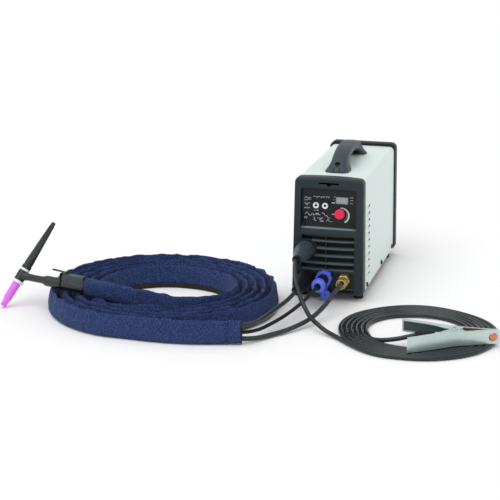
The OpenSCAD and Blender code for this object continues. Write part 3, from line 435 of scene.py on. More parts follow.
def front_bezel():
    rings = [at_y(outline(15, 228, 3, 6, 5), y) for y in (-170, -153)]
    lip = ((-153, 0), (-168.5, 0), (-171, 0.35), (-172.8, 1.1), (-174, 2.2), (-174.7, 3.6), (-175, 5.4))
    rings += [at_y(outline(12 + i, 231 - i, i, 9 - i, 8 - i / 2, 2.6), y) for y, i in lip]
    ob = build("front_bezel_look", loft(rings))
    panel_recess = front(rounded(-52, 52, 139, 212, 4, 0, -1.2), AHEAD, RECESS)
    slope = prism([[-176, 124.9], [-169.9, 139.6], [-169.9, 143], [-176, 143]], ORIGIN, Y, Z, X, -52, 52)
    grille_opening = front(rounded(-50, 50, 58, 124.2, 2.5, 1.4, 1.4), AHEAD, RECESS)
    socket_recess = front(rounded(-50, 50, 16.5, 54.4, 3, 0, 1.2), AHEAD, -173)
    holes = [bore(SWITCH_AT, 9, AHEAD, -150), bore(GAS_AT, 6.6, AHEAD, -150)]
    carve(ob, [panel_recess], [slope], [grille_opening], [socket_recess],
          [bore(at, 13, AHEAD, -150) for at in (EARTH_AT, TORCH_AT)], holes,
          [bore(at, r, AHEAD, -173) for at, r in ((SWITCH_AT, 12.55), (TORCH_AT, 17.05))],
          [front(rounded(18, 50, 18.5, 24, 1.4), AHEAD, RECESS)],
          [front(rounded(-19, 19, 221, 224.4, 0.6), AHEAD, RECESS)], [bore((0, 0, 221), 3.8, AHEAD, RECESS)])
    soften(ob, 0.55, 2, 38)
    place(ob, "bezel_slate", nodes=("front_bezel",))
    boss = [(-160, 13.1), (-175.4, 13.1), (-175.4, BOSS_R), (-160, BOSS_R)]
    lathe("socket_boss", "bezel_slate", boss, EARTH_AT, Y, 64, 1.0, loop=True)
    backing = build("recess_floor", front(rounded(-49.8, 49.8, 16.8, 54.0, 2.8, 0, 1.2), -173.15, -172.9))
    rims = ((TORCH_AT, 17.2), (SWITCH_AT, 12.7), (GAS_AT, 9.6))
    carve(backing, [bore(at, r, AHEAD, -170) for at, r in rims],
          [front(rounded(17.8, 50.2, 18.3, 24.2, 1.4), AHEAD, RECESS)])
    place(backing, "bezel_slate", look=LOOK["socket_black"])
    # This ledge strip is the bezel plastic with a painted highlight: it is lighter because of the light on
    # its slope.
    shelf = [[-174.8, 125.4], [-170.3, 139.4], [-168.4, 139.4], [-168.4, 124.4], [-173.4, 124.4]]
    ledge = build("panel_ledge", prism(shelf, ORIGIN, Y, Z, X, -51.9, 51.9))
    place(soften(ledge, 0.4), "bezel_slate", look=LEDGE_HIGHLIGHT)


def front_grille():
    def openings(y0, y1):
        rims = ((EARTH_AT, BOSS_R + 0.05), (TORCH_AT, 15.6), (SWITCH_AT, 12.1))
        return [bore(at, r, y0, y1) for at, r in rims]

    plate = build("front_grille_look", front(rounded(-54, 54, 55.2, 130, 2), -169.9, -168.4))
    carve(plate, [front(rounded(-50, 50, 58, 124, 2.5, 1.4, 1.4), -172, -160)], openings(-175, -160))
    place(soften(plate, 0.3), "bezel_slate", nodes=("front_grille",))
    # A dark sheet behind the grille, holed for the sockets, is painted shade for the unlit inside of the
    # case.
    shade_sheet = build("grille_shade_sheet", front(rounded(-53, 53, 56, 128, 2), -161.2, -160.4))
    carve(shade_sheet, openings(-162, -160))
    place(shade_sheet, "bezel_slate", look=DARK)

    slat = round_off([[-172, -1.5], [-172, 1.5], [-161.5, 2.6], [-161.5, -0.4], [-172, -1.5]], 0.7)[:-1]
    bars = []

    def bar(z, x0, x1):
        xs = np.linspace(x0, x1, max(3, int((x1 - x0) / 3)))
        bars.append(loft([np.stack([np.full(len(slat), x), slat[:, 0],
                                    z + slat[:, 1] - 1.4 * (1 - (x / 50.5) ** 2)], 1) for x in xs]))
    for z in (58.6, 71.5, 85.8, 100.1, 114.4):
        reach = math.sqrt(max(0, BOSS_R ** 2 - (z - EARTH_Z) ** 2))
        if reach:
            bar(z, SOCKET_X + reach + 0.3, 50.5)
            if SOCKET_X - reach > -49.5:
                bar(z, -50.5, SOCKET_X - reach - 0.3)
        else:
            bar(z, -50.5, 50.5)
    place(build("grille_bars", *bars), "bezel_slate", look=GRILLE)
    place(build("grille_divider", front(rounded(-5, -3, 58, 125, 0.6, n=2), -170.4, -161.6)), "bezel_slate")


def case_cover():
    """White sheet wrapped over the top; its louvres are pressed inwards and end in a vented step."""
    low, top, sheet, bend = 19, 229, 1.2, 9
    louvres = [40 + 13 * k for k in range(11)]
    zs = np.r_[np.linspace(low, 34.4, 6), np.arange(35.2, 178, 0.8), np.linspace(178.6, top - bend, 10)]
    corner = np.radians(np.linspace(8, 90, 9))
    ct = half_w(top) - bend
    right = [[half_w(z), z, 1] for z in zs]
    right += [[ct + bend * math.cos(a), top - bend + bend * math.sin(a), 0] for a in corner]
    roof = [[x, top, 0] for x in np.linspace(ct, -ct, 15)[1:-1]]
    outer = np.array(right + roof + [[-x, z, w] for x, z, w in right[::-1]])
    inner = outer.copy()
    inner[:, 0] -= np.sign(inner[:, 0]) * sheet * (np.abs(inner[:, 0]) > ct)
    inner[:, 1] -= sheet * (outer[:, 1] > top - bend)
    inner = inner[::-1]
    ys = np.r_[-153, -151.5, np.arange(-150, -108, 3.0), -107.4, -106, -105.2, -105.0, -104, -103.8, -101,
               np.linspace(-90, 145, 14), 153.4, 155]
    rings = []
    for y in ys:
        both = []
        for ring, step, half in ((outer, -105.1, 3.9), (inner, -103.9, 5.0)):
            ramp = np.clip((y + 150) / 45, 0, 1) if y < step else 0.0
            ring = ring.copy()
            dz = np.abs((ring[:, 1] - 40 + 6.5) % 13 - 6.5)
            live = (ring[:, 1] > 34.6) & (ring[:, 1] < 176) & (ring[:, 2] > 0)
            ring[:, 0] -= np.sign(ring[:, 0]) * live * 4.2 * ramp * np.clip(1.5 * (1 - dz / half), 0, 1)
            both.append(ring)
        both = np.concatenate(both)
        rings.append(np.stack([both[:, 0], np.full(len(both), y), both[:, 1]], 1))
    ob = build("case_cover_look", loft(rings))

    def slots(d0, d1, half, y0, y1):
        """A box at the step of every louvre, from d0 to d1 under the face of the cover."""
        made = []
        for sign in (1, -1):
            for z in louvres:
                x0, x1 = sorted((sign * (half_w(z) - d0), sign * (half_w(z) - d1)))
                made.append(front(rounded(x0, x1, z - half, z + half, 0.4, n=2), y0, y1))
        return made

    screws = [bore((0, y, 25.5), 1.7, -76, 76, X, 16) for y in SCREW_Y]
    top_holes = [bore((0, y, 0), 2.3, 200, 240, Z, 16) for y in HANDLE_SCREW_Y]
    carve(ob, slots(1.3, 3.2, 2.0, -106, -103), screws, top_holes)
    place(ob, "cover_white", nodes=("case_cover",), sharp=50)
    # Dark sheets set just inside the louvre steps are painted shade in the vent holes.
    place(build("vent_painted_shade", *slots(1.2, 3.3, 2.1, -104.9, -104.5)), "cover_white", look=DARK)


def handle():
    def even(p):
        d = along(p)
        return np.stack([np.interp(np.linspace(0, 1, 60), d / d[-1], p[:, k]) for k in (0, 1)], 1)

    out = even(smooth([[-113, 231], [-91, 248], [-71, 258], [-45, 265], [-15, 267.5], [20, 266.5], [50, 260],
                       [72, 249], [87, 231]], 10))
    ins = even(smooth([[-66, 231], [-50, 241.5], [-30, 248.5], [-5, 250.5], [25, 247.5], [49, 240.5],
                       [62, 231]], 10))
    a = np.arange(40) * 2 * math.pi / 40
    power = 0.55
    ca, sa = (np.sign(v) * np.abs(v) ** power for v in (np.cos(a), np.sin(a)))
    rings = []
    for o, i in zip(out, ins):
        mid, half = (o + i) / 2, (o - i) / 2
        p = mid + ca[:, None] * half
        w = 15 + 8 * np.clip((250 - p[:, 1]) / 19, 0, 1) ** 2
        rings.append(np.stack([sa * w, p[:, 0], p[:, 1]], 1))
    foot = [r * [1, 1, 0] + [0, 0, 229.2] for r in (rings[0], rings[-1])]
    ob = build("handle_look", loft([foot[0]] + rings + [foot[1]]))
    slope = unit((0, -0.61, 0.79))
    hole_at = (0, HANDLE_SCREW_Y[0], 243.4)
    wells = [bore(hole_at, 5.3, -5.5, 9, slope, 32), bore((0, HANDLE_SCREW_Y[1], 0), 5.8, 240.5, 290, Z, 32)]
    shafts = [bore((0, y, 0), 2.25, 225, 245, Z, 16) for y in HANDLE_SCREW_Y]
    carve(ob, wells, shafts)
    soften(ob, 0.5, 2, 45)
    place(ob, "handle_slate", nodes=("handle",), sharp=45)
    # The dark cup lining the carved well and the dark strips below it are painted shade in these recesses.
    well_shade = [(-5.4, 0.02), (-5.4, 5.25), (-0.9, 5.25), (-0.9, 4.85), (-5.0, 4.85), (-5.0, 0.02)]
    lathe("handle_well_shade", "handle_slate", well_shade, hole_at, slope, 32, look=DARK)
    grooves = [prism(rounded(x - 0.8, x + 0.8, -9.5, -0.5, 0.75, n=3), (0, -104.5, 238.5), X,
                     unit((0, 22, 17)), slope, -2, 0.15) for x in (-5.6, 5.6)]
    place(build("handle_groove_shade", *grooves), "handle_slate", look=DARK)
    line = resample(ins, 1.2)
    keep = line[(line[:, 0] > -34) & (line[:, 0] < 60)]
    tang = np.gradient(keep, axis=0)
    tang /= np.linalg.norm(tang, axis=1)[:, None]
    norm = np.stack([tang[:, 1], -tang[:, 0]], 1)
    pad = []
    for k, (p, q) in enumerate(zip(keep, norm)):
        lift = 0.5 if k in (0, len(keep) - 1) else 1.1 + 0.5 * (k % 3 == 1)
        half = [(12.5, -2.5), (12.5, lift * 0.6), (11.5, lift)]
        around = [(-x, d) for x, d in half] + half[::-1]
        pad.append(np.array([[x, *(p + q * d)] for x, d in around]))
    place(build("handle_pad", loft(pad)), "handle_slate", look=DARK)


def feet():
    prof = round_off([(0, 4.5), (0, 9.3), (18, 10), (18, 2.1), (5, 2.1), (5, 4.5)], 0.9)
    solids = [turned(prof, (sx * 53, sy * 141, 0), Z, 40, loop=True) for sx in (1, -1) for sy in (1, -1)]
    place(build("feet_look", *solids), "foot_rubber", nodes=("feet",))


# ---- front controls ----
def stroke(points, width, y=-170.0, thick=0.14):
    """A printed line on the panel."""
    p = np.asarray(points, float)
    out = []
    for a, b in zip(p, p[1:]):
        d = unit(b - a)
        n = np.array([-d[1], d[0]]) * width / 2
        a, b = a - d * width * 0.3, b + d * width * 0.3
        out.append(front([a + n, b + n, b - n, a - n], y - thick, y + 0.1))
    return out


def arc(cx, cz, r, a0, a1, n=16):
    a = np.radians(np.linspace(a0, a1, n))
    return np.stack([cx + r * np.cos(a), cz + r * np.sin(a)], 1)


def panel():
    """The panel's legends are plain strokes and curves that say nothing."""
    refined("control_panel", 0.5)
    ink = []

    def draw(width, *lines):
        for line in lines:
            ink.extend(stroke(line, width))

    draw(0.7, [[-46, 192], [-43, 195.5], [-40, 193.6], [-33.5, 193.6]])
    draw(0.6, [[-46, 189], [-41, 189], [-39, 190.8], [-33.5, 190.8]])
    draw(0.7, [[-46, 183.5], [-43, 183.5], [-43, 180], [-40, 180], [-40, 183.5], [-35.5, 183.5]])
    for x in -46 + 2.8 * np.arange(4):
        draw(0.9, [[x, 173.5], [x + 1.7, 175.3]])
    for x in (-28.5, -19.5):
        draw(0.8, [[x, 196.8], [x + 2.8, 196.8]])
        draw(0.75, [[x + 4.5, 195], [x + 6.1, 197], [x + 7.5, 195.4]])
    for x in (-9.5, -5, -1):
        draw(0.7, [[x, 195], [x, 197.4], [x + 2.4, 197.4]])
    draw(0.9, [[-27.5, 170.5], [-25.5, 170.5]])
    draw(1.0, [[-22.5, 170.8], [-19.5, 170.8]])
    draw(0.8, [[-44, 163], [-41, 166.5], [-38.5, 163], [-36, 160.5], [-34, 160.5], [-32, 163.4],
               [-29.5, 163.4], [-27.5, 160.6]])
    draw(0.85, [[-26, 162], [-22.5, 166], [-22.5, 162], [-19.5, 166], [-19.5, 162.3], [-16, 162.3]])
    draw(0.8, [[-13, 166], [-9, 166], [-6.5, 161.5], [-3.5, 161.5], [-1, 157.5], [2.5, 157.5]])
    for x in (-46, -42.5):
        draw(0.7, [[x, 154], [x + 1.6, 157.4], [x + 2.6, 157.4]])
    draw(0.75, [[-28, 157.6], [-25.5, 155.2], [-28, 152.6], [-24, 151]])
    draw(0.6, [[-21, 156.3], [-13, 156.3]])
    draw(0.9, [[-17, 153], [-11.5, 157]])
    draw(1.1, [[-16, 150.8], [-9.5, 150.8]])
    draw(0.7, [[-4, 151], [-1, 155.5], [1, 151]], [[3.5, 151], [6, 151]])
    draw(1.4, [[5.6, 186.6], [11, 186.6]])
    draw(0.7, [[9.4, 198], [11.8, 198]], [[8.5, 192.4], [10, 192.4]])
    for z in (198.2, 192.8, 187.2):
        draw(0.9, [[39.8, z], [41, z]])
        draw(0.7, [[42.4, z], [44.8, z]])
    draw(1.3, [[6.2, 165.2], [10.4, 164.8]])
    for a in np.radians(range(-50, 90, 14)):
        draw(0.45, [[23.4 + r * math.cos(a), 164 + r * math.sin(a)] for r in (10.3, 11.6)])
    outer, inner = arc(24, 163.4, 15.2, 98, -62, 40), arc(22.9, 163.8, 13.2, 98, -62, 40)
    ink.append(front(np.concatenate([outer, inner[::-1]]), -170.15, -169.9))
    place(build("panel_print", *ink), "panel_black", look=PRINT)

    window = build("display_window_look", front(rounded(13, 36, 185, 198, 0.8), -170.6, -167.6))
    place(soften(window, 0.25), "display_grey", nodes=("display_window",))
    digits = []
    w, h, lean = 4.2, 8.2, 0.08
    level = [[[0, z], [w, z]] for z in (0, h / 2, h)]
    upright = [[[x, z + 0.5], [x, z + h / 2 - 0.5]] for z in (0, h / 2) for x in (0, w)]
    for x0 in 15.6 + 6.6 * np.arange(3):
        for line in level + upright:
            digits += stroke([[x0 + x + lean * z, 187.4 + z] for x, z in line], 0.8, -170.6, 0.12)
    place(build("display_digits", *digits), "display_grey", look=GHOST)

    cup = [(-167.4, 0.02), (-167.4, 5.7), (-171.9, 5.7), (-172.3, 4.8), (-171.6, 2.5), (-171.0, 2.3),
           (-171.0, 0.02)]
    dot = [(-171.0, 0.02), (-171.0, 2.25), (-171.5, 2.0), (-171.6, 0.02)]
    for node, x in (("mode_button", -24), ("select_button", -7)):
        at, body = (x, 0, 180), BODY[node]
        lathe(node + "_look", "button_white", cup, at, Y, 40, 0.5, body=body, nodes=(node,))
        lathe(node + "_eye", "button_white", dot, at, Y, 24, body=body, look=DARK)
        tip = front([[x - 0.9, 181.9], [x + 0.9, 181.9], [x, 184.3]], -172.2, -171.2)
        place(build(node + "_mark", tip), "button_white", body, look=DARK)

    def knurl(t, a, r):
        return r + 0.12 * math.cos(36 * a) if -182 < t < -175 and r > 8.5 else r

    knob = [(-163, 0.02), (-163, 3), (-174.4, 3), (-174.6, 9.2), (-182.4, 9.1), (-183.2, 8.2), (-183.2, 0.02)]
    lathe("current_knob_look", "knob_red", knob, (22, 0, 168), Y, 144, 0.7, 1.5, knurl, body="knob",
          nodes=("current_knob",))
    mark = front(rounded(21.5, 22.5, 171, 176, 0.45, n=2), -183.35, -182.8)
    place(build("knob_mark", mark), "knob_red", "knob")


# ---- plugs and sockets ----
def plugs():
    for node in ("weld_sockets", "plug_pins", "switch_socket", "gas_outlet"):
        refined(node, 0.35)

    def ribs(t, a, r):
        if not -226 < t < -186:
            return r
        return r - 1.5 * max(0, math.cos(15 * a)) ** 6 * math.sin(math.pi * (t + 226) / 40)

    boot = [(-200, 9.6), (-181, 9.6), (-181, 15.6), (-183, 16.9), (-203, 16.4), (-222, 13.4), (-244, 8.9),
            (-255, 8), (-255, 4.02), (-211, 4.02)]
    lathe("earth_boot_look", "boot_rubber", boot, EARTH_AT, Y, 150, 1.6, 2, ribs, True, nodes=("earth_boot",))
    lip = [(-251.8, 8.1), (-254.4, 8.4), (-257.4, 7.6), (-257.4, 4.05), (-251.8, 4.05)]
    lathe("earth_boot_lip", "boot_rubber", lip, EARTH_AT, Y, 48, 0.6, loop=True, look=DARK)

    def spiral(t, a, r):
        if not -248 < t < -182:
            return r
        groove = 0.9 * (0.5 + 0.5 * math.cos(2 * math.pi * t / 6.2 + a)) ** 3
        return r - groove - 0.25 * max(0, math.cos(12 * a)) ** 4

    boot = [(-200, 9.6), (-179, 9.6), (-179, 15.7), (-181, 16.9), (-201, 16.6), (-222, 14), (-246, 9.6),
            (-255, 9), (-255, 4.02), (-211, 4.02)]
    lathe("torch_boot_look", "boot_rubber", boot, TORCH_AT, Y, 96, 1.6, 1.0, spiral, True,
          nodes=("torch_boot",), look=DARK)

    def notch(t, a, r):
        return r + 1.3 if r > 13.4 and math.cos(8 * a) > 0.1 else r

    ring = [(-177.4, 10.1), (-177.4, 14), (-189.6, 13.9), (-189.6, 10.1)]
    lathe("switch_ring_look", "connector_blue", ring, SWITCH_AT, Y, 144, 1.0, 2, notch, True,
          body="coupling_ring", nodes=("switch_ring",))

    def grip(t, a, r):
        if not (-223 < t < -192 and r > 9):
            return r
        return r + (0.45 if math.cos(20 * a) > 0 else -0.45)

    barrel = [(-179, 0.02), (-179, 7.3), (-189, 7.3), (-190.5, 10), (-226, 10.2), (-226, 0.02)]
    lathe("switch_plug_look", "plug_black", barrel, SWITCH_AT, Y, 120, 0.7, 2, grip, nodes=("switch_plug",))

    def flute(t, a, r):
        return r - 0.35 * max(0, math.cos(12 * a)) ** 4 if r > 11.5 else r

    collar = [(-223.6, 10.3), (-223.6, 12.2), (-225, 12.9), (-233, 12.8), (-237, 10.8), (-239, 8.4),
              (-239, 6.1), (-229.4, 6.1), (-226.4, 9.8)]
    lathe("switch_nut_look", "connector_blue", collar, SWITCH_AT, Y, 96, 1.2, 2, flute, True)
    gland = [(-229.2, 6.05), (-237.4, 6.05), (-238.4, 5.2), (-238.4, 3.25), (-229.2, 3.25)]
    lathe("switch_gland", "plug_black", gland, SWITCH_AT, Y, 48, 0.6, loop=True, look=DARK)

    cup = [(-178.2, 1.7), (-178.2, 9), (-183.4, 9.8), (-184.8, 8.8), (-184.8, 1.7)]
    lathe("cap_cup", "connector_blue", cup, CAP_AT, Y, 48, 0.9, loop=True, body="cap", nodes=("dust_cap",))
    # A dark plug in the cap's centre hole is painted shade in the hole.
    hole = [(-184.2, 0.02), (-184.2, 1.8), (-179, 1.8), (-179, 0.02)]
    lathe("cap_hole_shade", "connector_blue", hole, CAP_AT, Y, 16, body="cap", look=DARK)
    strap = [[1.6, -4.4], [1.6, -3.2], [-1.6, -3.2], [-1.6, -4.4]]
    rings = [np.array([[CAP_AT[0] + x * k, YF + y, z] for x, y in strap])
             for z, k in ((20, 2.8), (24, 1.6), (28.2, 1.0), (28.6, 0.9))]
    eye = round_off([(-1.6, 0.95), (-1.6, 1.9), (1.6, 1.9), (1.6, 0.95)], 0.3)
    eye = turned(eye, (CAP_AT[0], YF - 4.2, 27.4), X, 24, loop=True)
    place(build("cap_strap", loft(rings), eye), "connector_blue", "cap")

    def nut(t, a, r):
        if t > -190.2 and r > 10:
            return min(r, 10.2 / math.cos((a % (math.pi / 3)) - math.pi / 6))
        return r + 0.22 * math.cos(24 * a) if -199.5 < t < -192 and r > 9 else r

    brass = [(-187, 6.65), (-178, 6.65), (-178, 10.6), (-179, 11.6), (-189, 11.6), (-190.2, 10.4),
             (-190.4, 9.5), (-202, 9.5), (-203.4, 8.9), (-205, 9.4), (-211.4, 9.4), (-212, 8.8), (-212, 7.5),
             (-205.4, 7.3), (-205.4, 4.1), (-190, 4.1)]
    lathe("gas_nut_look", "brass", brass, GAS_AT, Y, 144, 0.5, 1.2, nut, True, body="hose_nut",
          nodes=("gas_nut",))


# ---- cords ----
EARTH_ROUTE = [
    [-40, -215, 98], [-40, -235, 98], [-40, -255, 98], [-40, -265, 96.5], [-38, -277, 89],
    [-33, -294, 73], [-25.5, -304, 57], [-16.5, -313, 42], [-8, -322, 31], [4, -338, 22],
    [20, -355, 16], [38, -368, 9], [61, -383, 4.5], [91, -413, 4], [122, -439, 4], [153, -452, 4],
    [190, -454.5, 4]]
POWER_ROUTE = [
    [-40, -213, 39.5], [-40, -234, 39.5], [-40, -255, 39.5], [-42, -269, 37.5], [-48.5, -292, 32],
    [-56.5, -322, 28.5], [-62.5, -358, 28], [-67, -396, 29.5], [-70.5, -421, 32], [-75.5, -436.5, 33.2],
    [-83.5, -447, 33.8], [-94, -453, 34], [-106, -456, 34]]
SWITCH_ROUTE = [
    [-4.5, -229, 45], [-4.5, -236, 45], [-5.2, -244, 44.2], [-8.5, -254.5, 40.8], [-14.5, -268, 35],
    [-25, -295, 26.5], [-36.5, -326, 20.5], [-49, -362, 17], [-63.5, -403, 16], [-71.5, -424, 17.5],
    [-81, -440.5, 19.5], [-95, -452, 21], [-110, -457, 21.5]]
HOSE_ROUTE = [
    [33, -187, 44], [33, -203, 44], [33, -219, 44], [32, -232, 42.5], [29, -250, 39], [20, -282, 27],
    [8, -312, 16], [-5, -337, 10], [-25, -372, 6.5], [-46, -400, 5], [-65, -427, 6], [-79, -441.5, 8],
    [-96, -452, 10], [-112, -457, 10]]
PIVOT, TURN = np.array([262.0, -371.0, 8.8]), math.radians(13.5)
CU, CV = np.array([math.cos(TURN), math.sin(TURN), 0]), np.array([-math.sin(TURN), math.cos(TURN), 0])


def clamp_pt(u, v=0.0, z=12.5):
    return PIVOT + u * CU + v * CV + z * Z


def cord(name, path, dia, far_end, nodes=(), look=None, wave=None, n=14, **words):
    ob = build(name, sweep(path, dia / 2, n, wave))
    uv = ob.data.uv_layers.new(name="UVMap")
    d = along(path)
    for loop in ob.data.loops:
        i, k = divmod(loop.vertex_index, n)
        uv.data[loop.index].uv = (d[min(i, len(d) - 1)] * MM, k / n * dia * MM * math.pi)
    place(ob, "cable_rubber", nodes=nodes, look=look, sharp=60)


def braided(d, a):
    return 0.22 * math.cos(8 * a + d * 0.9) * math.cos(8 * a - d * 0.9)


def leads():
    def lead(name, route, dia, step=4, **words):
        cord(name, resample(smooth(route, 12), step), dia, "object", lay="loose", **words)

    lead("power_cable", POWER_ROUTE, 8, nodes=("torch_lead_tubes",))
    lead("switch_cable", SWITCH_ROUTE, 6.4, look=DARK)
    lead("gas_hose", HOSE_ROUTE, 8, 1.6, look=BRAID, wave=braided, n=32)


def earth_lead(clamp_pieces):
    turns, pitch, out = 5.83, 8.9, 140
    start = smooth(EARTH_ROUTE, 12)
    a = np.radians(np.arange(-90, -90 + turns * 360, 3.0))
    back = np.clip(np.sin(a), 0, 1)
    r = out - pitch * (a - a[0]) / (2 * math.pi) + 0.55 * np.sin(3 * a + 0.4) + 0.35 * np.sin(7 * a)
    r += 1.3 * back * np.sin(4.3 * a)
    r[:12] = np.interp(np.arange(12), [0, 11], [out, r[11]])
    lift = 0.65 * (1 + np.sin(5 * a)) * back
    coil = np.stack([190 + r * np.cos(a), -318 + 0.975 * r * np.sin(a), 4.0 + lift], 1)
    tail = [coil[-1], [122, -378, 4.5], [142, -390, 8], [170, -392, 14]]
    tail += [clamp_pt(u) for u in (-64, -50, -40, -30)]
    path = resample(np.concatenate([start[:-1], coil[:-1], smooth(tail, 10)]), 5)
    cord("earth_cable", path, 8, "tool", ("earth_lead_tubes", "earth_coil"), lay="coiled",
         with_pieces=clamp_pieces)


SLEEVE_AT = np.array([-279.0, -283.0])
HEAD = np.array([-540.0, -341.0, 53.6])
GB = np.array([math.cos(math.radians(-16.5)), math.sin(math.radians(-16.5)), 0])
TILT, SPIN = math.radians(39.5), math.radians(53.5)
TA = np.array([math.sin(TILT) * math.cos(SPIN), math.sin(TILT) * math.sin(SPIN), math.cos(TILT)])


def sleeve_r(a, t):
    """Radius of the sleeve's middle line t turns in; it is slacker at the left, right and back."""
    left, back = np.clip(-np.cos(a), 0, 1), np.clip(np.sin(a), 0, 1)
    right = np.clip(np.cos(a), 0, 1)
    return 194 - 17 * t + 17 * right ** 1.5 + (19 * left ** 1.5 + 8 * back ** 2) * (1 - t / 5)


def sleeve(torch_pieces):
    """A flat tube on its edge in five turns: open at its mouth, and closing round the torch handle."""
    mouth = smooth([[-88.5, -452, 22], [-112, -456, 21.6], [-150, -466, 21.3], [-190, -474, 21.2],
                    [-240, -477, 21.2]], 8)
    a = np.radians(np.arange(-100, -1863, -2.0))
    t = (np.radians(-104) - a) / (2 * math.pi)
    r = sleeve_r(a, t)
    rise = 21.2 + 10.5 * np.clip((t - 4.6) / 0.283, 0, 1) ** 1.3
    coil = np.stack([SLEEVE_AT[0] + r * np.cos(a), SLEEVE_AT[1] + r * np.sin(a), rise], 1)
    end = smooth([coil[-1], [-250, -387, 35], [-290, -391, 42], [-322, -392, 49.5], [-352, -392, 54.5]]
                 + [HEAD + u * GB + 3.9 * Z for u in (168, 160, 152)], 8)
    path = resample(np.concatenate([mouth[:-1], coil[3:-1], end]), 4.5)
    for _ in range(6):
        path[1:-1] = (path[:-2] + 2 * path[1:-1] + path[2:]) / 4
    d = along(path)
    total, m = d[-1], len(path)
    over = path[d > total - 150]  # the last stretch lies on the turns below and presses them down
    # each ring goes up one side of the sleeve and down the other; h is the height up it, 0 to 1
    n, hs = 34, []
    for q in np.arange(n) / n * 2:
        hs.append((q if q <= 1 else 2 - q, 1 if q < 1 else -1))
    rings = []
    t = np.gradient(path, axis=0)
    for i, p in enumerate(path):
        side = unit(np.cross(t[i], Z))
        s, left = d[i], total - d[i]
        opened = np.clip(1 - s / 60, 0, 1) ** 1.5
        close = np.clip(1 - left / 110, 0, 1) ** 0.6
        height = np.interp(left, (0, 43, 73, 106, 136, 185, 235), (34, 34, 37, 42, 44, 44, 42.5))
        height -= 1.5 * opened
        crown = 2.6 * wobble((s, 3.0), 24) + 1.5 * wobble((s, 9.0), 9)
        sway = 5.4 * wobble((s, 20.0), 19) + 3.2 * wobble((s, 40.0), 8)
        press = 0.0
        if left > 190:
            gap = np.hypot(over[:, 0] - p[0], over[:, 1] - p[1])
            j = gap.argmin()
            room = over[j, 2] - 14.5
            press = max(0.0, (p[2] + 21 - room)) * np.clip(1.6 - gap[j] / 12, 0, 1)
        fold = (1 - opened) * (1 - close)
        ring = []
        for h, sign in hs:
            thin = 7.8 * min(1, math.sqrt(h / 0.1)) * (1 - 0.8 * np.clip((h - 0.3) / 0.7, 0, 1) ** 1.2)
            thin *= math.sqrt(max(0, 1 - np.clip((h - 0.93) / 0.07, 0, 1) ** 2))
            oval = 7.9 * math.sqrt(max(0, 1 - (2 * h - 1) ** 2)) ** 0.62
            wide = oval * opened + thin * (1 - opened)
            soft = math.sqrt(max(0, 1 - abs(2 * h - 1) ** 2.6)) * 10
            wide = wide * (1 - close) + soft * close
            crease = 1.1 * wobble((s + 9 * h * sign, 30 * h, 50 * sign), 9)
            crease += 1.3 * wobble((s * 0.7 + 26 * h, 30 * h, 80 * sign), 19)
            wide += crease * min(1, 6 * h) * (0.35 + 0.9 * fold * h) if 0.02 < h < 0.97 else 0
            z = (h - 0.5) * height + (crown * fold - press) * h ** 2.2
            ring.append(p + side * (sign * max(wide, 0.25) + sway * fold * h ** 3.2) + Z * z)
        rings.append(np.array(ring))
    for ring in rings:
        ring[:, 2] = np.maximum(ring[:, 2], 0.15)
    inner = []
    for depth, shrink in ((0, 0.9), (3, 0.86), (12, 0.84), (28, 0.8)):
        i = int(np.searchsorted(d, depth))
        centre = path[i]
        inner.append(centre + (rings[i] - centre) * [shrink, shrink, 0.945])
    ob = build("torch_sleeve", loft(inner[::-1] + rings))
    skip = len(inner)
    uv = ob.data.uv_layers.new(name="UVMap")
    for loop in ob.data.loops:
        i, k = divmod(loop.vertex_index, n)
        uv.data[loop.index].uv = (d[min(max(i - skip, 0), m - 1)] * MM, k / n * 100 * MM)
    place(ob, "denim", nodes=("sleeve_ends", "sleeve_coil"), sharp=75)

    hems = []
    for at, thread in ((21.5, 0.45), (23.2, 0.45), (0, 0.8)):
        ring = rings[int(np.searchsorted(d, at))]
        hems.append(sweep(resample(np.concatenate([ring, ring[:1]]), 1.5), thread, 6))
    place(build("sleeve_hem", *hems), "denim", look=STITCH)

    band = []
    for k, ang in enumerate(np.radians(np.arange(30, 205, 0.5))):
        turns = (math.radians(-104) - (ang - 10 * math.pi)) / (2 * math.pi)
        r = sleeve_r(ang, turns) - 9.3 - 0.5 * (k % 4 < 2)
        c = np.array([math.cos(ang), math.sin(ang)])
        near, far = SLEEVE_AT + r * c, SLEEVE_AT + (r + 2.4) * c
        band.append(np.array([[*near, 0.6], [*near, 9.4], [*far, 9.4], [*far, 0.6]]))
    place(build("sleeve_foot_band", loft(band)), "denim", look=BAND)


